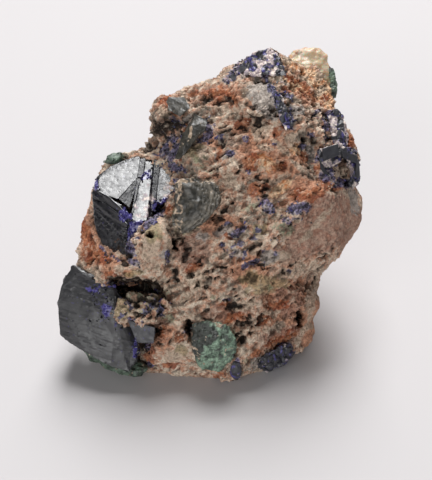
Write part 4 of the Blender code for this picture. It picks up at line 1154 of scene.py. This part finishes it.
def cut_layers(mesh, points, dark):
    """Cuts curved layers round the lens's core. Gives its uncut points, and how dark and crumbly each is."""
    places = on_face(points)
    from_centre = np.hypot(places[:, 0] - LENS_CENTRE[0], places[:, 1] - LENS_CENTRE[1])
    from_centre += 0.5 * wave(points, 1.8, 7.4)
    layered = step(np.sin(from_centre / LENS_LAYER * math.tau) + wave(points, 0.9, 2.6), 0.0, 1.2)
    u, v, half_width, half_height = LENS_CORE
    rim = step(np.hypot((places[:, 0] - u) / half_width, (places[:, 1] - v) / half_height), 0.72, 0.95)
    points, normals = surface(mesh)
    reshape(mesh, points + normals * (0.22 * rim * (0.5 - layered) - 0.12 * (1.0 - rim) * dark)[:, None])
    core = np.clip(0.95 + 0.9 * wave(points, 1.2, 2.2) + 0.5 * wave(points, 0.5, 8.2), 0.0, 1.0)
    edge = np.maximum(step(-places[:, 0], -LENS_LEFT[0], -LENS_LEFT[1]), step(places[:, 1], *LENS_TOP))
    rock = np.maximum(0.72 * edge, 0.3 * rim * (1.0 - 0.6 * layered))
    return points, core * (1.0 - rim) + 0.6 * layered * rim, rock


def make_grey_calcite():
    """The layered lens, and the wedge and the blade, which are cleavage pieces."""
    # Cleaved calcite is smooth, with a soft gloss. It is grey, and darker where it is thick.
    grey = mottled_mineral(
        "Grey calcite, smooth cleavage",
        linear("302F2A"),
        linear("857D70"),
        width=1.4,
        bump_width=0.7,
        bump_strength=0.6,
        roughness=0.42,
        IOR=1.58,
    )
    for name, node_name, height, rock, shade in GREY_CALCITE:
        shell = node_shell(node_name)
        grow(shell, GREY_CALCITE_SKIN)
        if node_name == "calcite_lens":
            mesh = remeshed(mesh_of(node_name, shell), LENS_SPACING)
        else:
            wear_edges(shell, CLEAVAGE_EDGE)
            refine(shell, CLEAVAGE_SPACING)
            mesh = mesh_of(node_name, shell)
        points, normals = surface(mesh)
        steps = cells(points, 2.4, 3.3)
        relief = height * (wave(points, 2.6, 4.4) - steps[:, 0]) + 0.3 * height * wave(points, 0.9, 8.1)
        reshape(mesh, points + normals * relief[:, None])
        dark = step(wave(points, 1.6, 2.2), 0.0, 0.4)
        streak = 0.0
        if node_name == "calcite_lens":
            points, dark, rock = cut_layers(mesh, points, dark)
        if node_name == "calcite_blade":
            streak = patch_share(on_face(points), BLADE_STREAK)
        mark(mesh, "rock", np.maximum(rock + 0.4 * wave(points, 1.9, 6.9) * (rock > 0.1), 0.8 * streak))
        mark(mesh, "cavity", np.maximum(0.72 * dark, shade))
        finish_piece(name, mesh, grey, [node_name])


def make_cream_calcite():
    """The rounded knob behind the crest."""
    settings = bpy.context.scene.specimen_crust
    # Light goes into cream calcite and comes out near by, so it glows a little, and its shadows are soft.
    cream = mottled_mineral(
        "Cream calcite, translucent",
        settings.calcite,
        linear("CBB08A"),
        width=1.8,
        bump_width=0.7,
        bump_strength=0.35,
        roughness=0.38,
        IOR=1.58,
        Subsurface_Weight=0.6,
        Subsurface_Scale=2.0 * MM,
    )
    shell = node_shell("calcite_knob")
    grow(shell, CRUST_SKIN)
    mesh = remeshed(mesh_of("knob", shell), KNOB_SPACING)
    points, normals = surface(mesh)
    relief = 0.4 * wave(points, 2.4, 1.9) + 0.18 * wave(points, 0.9, 3.7)
    reshape(mesh, points + normals * relief[:, None])
    mark(mesh, "rock", 0.9 * patch_share(on_face(points), KNOB_CRUMBS))
    finish_piece("knob_calcite", mesh, cream, ["calcite_knob"])


def make_malachite():
    """The botryoidal crusts: beads of two sizes, veined and crumbly with rock."""
    settings = bpy.context.scene.specimen_crust
    # Dense green beads with a powdery bloom on their tops look almost velvety, with no sharp highlights.
    green = mottled_mineral(
        "Malachite, botryoidal crust",
        settings.green,
        settings.pale_green,
        width=1.3,
        bump_width=0.35,
        bump_strength=0.9,
        roughness=0.5,
        IOR=1.7,
    )
    for name, node_name, spacing, beside, least_dark in MALACHITE:
        size = settings.bead / MM * beside
        shell = node_shell(node_name)
        grow(shell, CRUST_SKIN)
        mesh = remeshed(mesh_of(node_name, shell), spacing)
        points, normals = surface(mesh)
        beads = cells(points, size, 2.9)
        small = cells(points, size * 0.45, 6.3)
        domes = np.sqrt(np.clip(1.0 - (beads[:, 0] / 0.85) ** 2, 0.0, 1.0))
        relief = 0.55 * domes - 0.3 * small[:, 0] + 0.3 * wave(points, 3.0, 0.7) - 0.2
        reshape(mesh, points + normals * relief[:, None])
        places = on_face(points)
        shaded = patch_share(places, NODULE_SHADE)
        dark = 0.93 * step(0.9 * wave(points, 0.9, 5.9) + 0.9 * shaded, 0.05, 0.5)
        dark = np.maximum(dark, least_dark)
        crevices = 1.0 - step(np.abs(wave(points, 1.0, 4.7) + 0.3 * wave(points, 0.4, 1.3)), 0.03, 0.14)
        # Painted shade darkens the gaps between the beads.
        mark(mesh, "cavity", np.maximum.reduce((step(-domes, -0.4, 0.0) * 0.8, dark, 0.7 * crevices)))
        net = cells(points + 0.4 * wave(points, 0.8, 3.3)[:, None], 1.7, 7.7)
        veins = 1.0 - step(net[:, 1] - net[:, 0], 0.02, 0.16)
        crumbs = patch_share(places, NODULE_CRUMBS)
        mark(mesh, "rock", 0.5 * veins + 0.6 * crumbs + 0.3 * step(wave(points, 1.8, 9.1), 0.1, 0.5))
        finish_piece(name, mesh, green, [node_name])


def grain_shape(name, corners, length, seed):
    """A small crystal or chip, one unit across, with only a few faces."""
    # Without a seed, the noise's offsets would come from the clock.
    noise.seed_set(seed)
    bm = bmesh.new()
    bmesh.ops.create_cone(bm, cap_ends=True, segments=corners, radius1=0.42, radius2=0.3, depth=length)
    for vert in bm.verts:
        vert.co += 0.2 * noise.noise_vector(vert.co * 2.0 + Vector((seed, seed, seed)))
    shape = bpy.data.objects.new(name, mesh_of(name, bm))
    bpy.context.scene.collection.objects.link(shape)
    return shape


def scatter_tree():
    """Geometry nodes that strew a shape over a surface, as thickly as one of its attributes says."""
    tree = bpy.data.node_groups.new("strewn grains", "GeometryNodeTree")
    face = tree.interface
    face.new_socket("Geometry", in_out="INPUT", socket_type="NodeSocketGeometry")
    face.new_socket("Shape", in_out="INPUT", socket_type="NodeSocketObject")
    face.new_socket("Share", in_out="INPUT", socket_type="NodeSocketString")
    for name in ("Grains per mm2", "Smallest", "Largest", "Tilt"):
        face.new_socket(name, in_out="INPUT", socket_type="NodeSocketFloat")
    face.new_socket("Seed", in_out="INPUT", socket_type="NodeSocketInt")
    face.new_socket("Material", in_out="INPUT", socket_type="NodeSocketMaterial")
    face.new_socket("Geometry", in_out="OUTPUT", socket_type="NodeSocketGeometry")
    given = add(tree, "NodeGroupInput").outputs
    share = add(tree, "GeometryNodeInputNamedAttribute", {"Name": given["Share"]}, data_type="FLOAT")
    product = {0: share.outputs[0], 1: given["Grains per mm2"]}
    density = add(tree, "ShaderNodeMath", product, operation="MULTIPLY")
    ground = {"Mesh": given["Geometry"], "Density": density.outputs[0], "Seed": given["Seed"]}
    strewn = add(tree, "GeometryNodeDistributePointsOnFaces", ground)
    widths = {2: given["Smallest"], 3: given["Largest"], "Seed": given["Seed"]}
    width = add(tree, "FunctionNodeRandomValue", widths, data_type="FLOAT")
    # A grain leans either way by up to the tilt, and turns any way round.
    back = add(tree, "ShaderNodeMath", {0: given["Tilt"], 1: -1.0}, operation="MULTIPLY")
    least = add(tree, "ShaderNodeCombineXYZ", {0: back.outputs[0], 1: back.outputs[0], 2: -math.pi})
    most = add(tree, "ShaderNodeCombineXYZ", {0: given["Tilt"], 1: given["Tilt"], 2: math.pi})
    leans = {0: least.outputs[0], 1: most.outputs[0], "Seed": given["Seed"]}
    lean = add(tree, "FunctionNodeRandomValue", leans, data_type="FLOAT_VECTOR")
    turn = add(tree, "FunctionNodeEulerToRotation", {0: lean.outputs[0]})
    turning = {0: strewn.outputs["Rotation"], 1: turn.outputs[0]}
    posed = add(tree, "FunctionNodeRotateRotation", turning, rotation_space="LOCAL")
    shape = add(tree, "GeometryNodeObjectInfo", {"Object": given["Shape"]})
    placing = {
        "Points": strewn.outputs["Points"],
        "Instance": shape.outputs["Geometry"],
        "Rotation": posed.outputs[0],
        "Scale": width.outputs[1],
    }
    placed = add(tree, "GeometryNodeInstanceOnPoints", placing)
    real = add(tree, "GeometryNodeRealizeInstances", {"Geometry": placed.outputs[0]})
    coating = {"Geometry": real.outputs[0], "Material": given["Material"]}
    finished = add(tree, "GeometryNodeSetMaterial", coating)
    add(tree, "NodeGroupOutput", {"Geometry": finished.outputs[0]})
    return tree


def strew(tree, host, values):
    """The mesh of what the tree strews over the host, with these values as its inputs."""
    carrier = bpy.data.objects.new("carrier", host)
    bpy.context.scene.collection.objects.link(carrier)
    nodes = carrier.modifiers.new("grains", "NODES")
    nodes.node_group = tree
    for item in tree.interface.items_tree:
        if item.name in values:
            nodes[item.identifier] = values[item.name]
    graph = bpy.context.evaluated_depsgraph_get()
    mesh = bpy.data.meshes.new_from_object(carrier.evaluated_get(graph))
    bpy.data.objects.remove(carrier)
    return mesh


def make_grains():
    """The micro-crystals of azurite and four kinds of grit, strewn over the finished pieces."""
    settings = bpy.context.scene.specimen_grains
    tree = scatter_tree()
    prism = grain_shape("crystal shape", 5, 1.1, 1)
    chip = grain_shape("chip shape", 4, 0.8, 2)
    # Micro-crystals are thin enough to show azurite's blue, with small bright glints.
    crystal = bpy.context.scene.specimen_crystal
    blue = azurite_crystal(crystal, "Azurite, micro-crystals", wobble=0.2, roughness=0.25, scale=0.5)
    # Broken grit is matt, and only its colour tells one kind from another. The finest of it is drawn as
    # coarse as it needs to be to show.
    calcite, rock, limonite, goethite = (
        mottled_mineral(
            name,
            linear(first),
            linear(second),
            width=1.1,
            bump_width=0.3,
            bump_strength=0.4,
            roughness=0.7,
            IOR=1.55,
        )
        for name, first, second in (
            ("Calcite grit", "E4D6C2", "B79F88"),
            ("Rock grit", "B08A74", "7E5F4E"),
            ("Limonite grit", "BE7A50", "8A4C30"),
            ("Goethite grit", "2E231C", "5C463A"),
        )
    )
    on_rock = ["host_rock"]
    on_crystals = ["crown_crystals", "prow_crystal"]
    # Each kind has its piece, its slot, its shape, what it lies on, the share that it follows there, how many
    # grains are on a square millimetre, its smallest and its largest grain beside the set ones, its tilt in
    # radians and its material.
    for name, slot, shape, hosts, share, density, smallest, largest, tilt, material in (
        ("micro_azurite", "azurite", prism, on_rock, "azurite", 1.5, 1.2, 1.3, 0.7, blue),
        ("fringe_azurite", "azurite", prism, on_crystals, "fringe", 4.0, 1.6, 1.7, 0.7, blue),
        ("calcite_grit", "matrix", chip, on_rock, "cream_grit", 0.8, 1.0, 0.9, 3.0, calcite),
        ("rock_grit", "matrix", chip, on_rock, "tan_grit", 0.6, 1.0, 1.0, 3.0, rock),
        ("limonite_grit", "matrix", chip, on_rock, "rust_grit", 0.7, 1.0, 0.9, 3.0, limonite),
        ("goethite_grit", "matrix", chip, on_rock, "dark_grit", 0.35, 1.0, 0.9, 3.0, goethite),
    ):
        values = {
            "Shape": shape,
            "Share": share,
            "Grains per mm2": density,
            "Smallest": settings.smallest / MM * smallest,
            "Largest": settings.largest / MM * largest,
            "Tilt": tilt,
            "Seed": settings.seed,
            "Material": material,
        }
        strewn = bmesh.new()
        for host_name in hosts:
            host = bpy.data.objects[host_name].data.copy()
            host.transform(Matrix.Scale(1 / MM, 4))
            strewn.from_mesh(strew(tree, host, values))
            bpy.data.meshes.remove(host)
        mesh = mesh_of(name, strewn)
        points = surface(mesh)[0]
        reshape(mesh, points)
        # Azurite on the rock is mottled with blue, and on the crystals it takes over their own fringe.
        if name == "micro_azurite":
            mark(mesh, "fringe", 0.75 * step(wave(points, 0.8, 2.1), -0.1, 0.4))
        finish_piece(name, mesh, material)
    bpy.data.objects.remove(prism)
    bpy.data.objects.remove(chip)


def make_board(settings):
    """The pale board under the specimen."""
    corners = [(x * BOARD_HALF, y * BOARD_HALF, 0.0) for x, y in ((-1, -1), (1, -1), (1, 1), (-1, 1))]
    mesh = bpy.data.meshes.new("floor")
    mesh.from_pydata(corners, [], [(0, 1, 2, 3)])
    # A matt board takes the specimen's soft shadow and mirrors nothing.
    board, _, shader, _ = new_material("Matt white board", Roughness=0.7, Specular_IOR_Level=0.3)
    shader.inputs["Base Color"].default_value = tuple(settings.floor)
    mesh.materials.append(board)
    floor = bpy.data.objects.new("floor", mesh)
    floor.location.z = -BOARD_GAP * MM
    bpy.context.scene.collection.objects.link(floor)


def make_stage():
    """The board, the lights, the room and the camera, which looks straight at the display plane."""
    settings = bpy.context.scene.specimen_stage
    make_board(settings)
    centre = Vector(FACE_CENTRE) * MM
    # Each light has the way to it from the specimen, its distance and its width, in metres, and its power.
    for name, direction, distance, side, power in (
        ("softbox", Vector((0.0, 0.30, 0.95)), 0.65, 0.28, settings.key_power),
        ("back light", Vector((0.08, 0.64, 0.74)), 1.1, 0.5, settings.back_power),
        ("front card", Vector((-0.32, -0.92, 0.28)), 0.6, 0.5, settings.card_power),
    ):
        data = bpy.data.lights.new(name, "AREA")
        data.shape = "SQUARE"
        data.size = side
        data.energy = power
        light = bpy.data.objects.new(name, data)
        light.location = centre + direction.normalized() * distance
        light.rotation_euler = (-direction).to_track_quat("-Z", "Y").to_euler()
        bpy.context.scene.collection.objects.link(light)
    world = bpy.data.worlds.new("room")
    world.use_nodes = True
    background = world.node_tree.nodes["Background"]
    background.inputs["Color"].default_value = linear("FDFBFA")
    background.inputs["Strength"].default_value = settings.fill
    bpy.context.scene.world = world
    data = bpy.data.cameras.new("camera")
    data.lens = settings.lens
    data.sensor_width = 36.0
    camera = bpy.data.objects.new("camera", data)
    camera.location = centre - Vector(INWARD) * EYE_DISTANCE * MM
    camera.rotation_euler = Vector(INWARD).to_track_quat("-Z", "Y").to_euler()
    bpy.context.scene.collection.objects.link(camera)
    bpy.context.scene.camera = camera
    bpy.context.scene.view_settings.view_transform = "Standard"


# The add-on: one operator for each piece or group of pieces, and their panel.


class SPECIMEN_OT_host_rock(bpy.types.Operator):
    """Makes the rough, iron-stained rock that carries the crystals"""

    bl_idname = "specimen.host_rock"
    bl_label = "Host rock"

    def execute(self, context):
        make_host_rock()
        return {"FINISHED"}


class SPECIMEN_OT_crown(bpy.types.Operator):
    """Makes the group of bright-topped azurite blades at the upper left"""

    bl_idname = "specimen.crown"
    bl_label = "Crown crystals"

    def execute(self, context):
        make_crown()
        return {"FINISHED"}


class SPECIMEN_OT_prow(bpy.types.Operator):
    """Makes the large azurite crystal at the lower left"""

    bl_idname = "specimen.prow"
    bl_label = "Prow crystal"

    def execute(self, context):
        make_prow()
        return {"FINISHED"}


class SPECIMEN_OT_small_azurite(bpy.types.Operator):
    """Makes the smaller azurite crusts and crystals"""

    bl_idname = "specimen.small_azurite"
    bl_label = "Small azurite"

    def execute(self, context):
        make_small_azurite()
        return {"FINISHED"}


class SPECIMEN_OT_calcite(bpy.types.Operator):
    """Makes the grey calcite masses and the translucent knob"""

    bl_idname = "specimen.calcite"
    bl_label = "Calcite"

    def execute(self, context):
        make_grey_calcite()
        make_cream_calcite()
        return {"FINISHED"}


class SPECIMEN_OT_malachite(bpy.types.Operator):
    """Makes the green nodules and crusts"""

    bl_idname = "specimen.malachite"
    bl_label = "Malachite"

    def execute(self, context):
        make_malachite()
        return {"FINISHED"}


class SPECIMEN_OT_grains(bpy.types.Operator):
    """Strews small crystals and grit over the rock"""

    bl_idname = "specimen.grains"
    bl_label = "Grains"

    def execute(self, context):
        make_grains()
        return {"FINISHED"}


class SPECIMEN_OT_stage(bpy.types.Operator):
    """Sets the floor, the lights and the camera"""

    bl_idname = "specimen.stage"
    bl_label = "Stage"

    def execute(self, context):
        make_stage()
        return {"FINISHED"}


OPERATORS = (
    SPECIMEN_OT_host_rock,
    SPECIMEN_OT_crown,
    SPECIMEN_OT_prow,
    SPECIMEN_OT_small_azurite,
    SPECIMEN_OT_calcite,
    SPECIMEN_OT_malachite,
    SPECIMEN_OT_grains,
    SPECIMEN_OT_stage,
)
SETTINGS = {
    "specimen_rock": RockSettings,
    "specimen_crystal": CrystalSettings,
    "specimen_crust": CrustSettings,
    "specimen_grains": GrainSettings,
    "specimen_stage": StageSettings,
}


class SPECIMEN_PT_panel(bpy.types.Panel):
    """Lists the specimen's settings and its pieces"""

    bl_idname = "SPECIMEN_PT_panel"
    bl_label = "Specimen"
    bl_space_type = "VIEW_3D"
    bl_region_type = "UI"
    bl_category = "Specimen"

    def draw(self, context):
        for name, group in SETTINGS.items():
            box = self.layout.box()
            for key in group.__annotations__:
                box.prop(getattr(context.scene, name), key)
        for operator in OPERATORS:
            self.layout.operator(operator.bl_idname)


def register():
    """Adds the settings, the operators and the panel to Blender."""
    for group in SETTINGS.values():
        bpy.utils.register_class(group)
    for operator in OPERATORS:
        bpy.utils.register_class(operator)
    bpy.utils.register_class(SPECIMEN_PT_panel)
    for name, group in SETTINGS.items():
        setattr(bpy.types.Scene, name, bpy.props.PointerProperty(type=group))


def unregister():
    """Takes them away again."""
    for name in SETTINGS:
        delattr(bpy.types.Scene, name)
    bpy.utils.unregister_class(SPECIMEN_PT_panel)
    for operator in reversed(OPERATORS):
        bpy.utils.unregister_class(operator)
    for group in reversed(SETTINGS.values()):
        bpy.utils.unregister_class(group)


def main():
    """Makes every piece and the stage."""
    register()
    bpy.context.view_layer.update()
    for operator in OPERATORS:
        group, name = operator.bl_idname.split(".")
        getattr(getattr(bpy.ops, group), name)()
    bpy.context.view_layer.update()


if __name__ == "__main__":
    main()
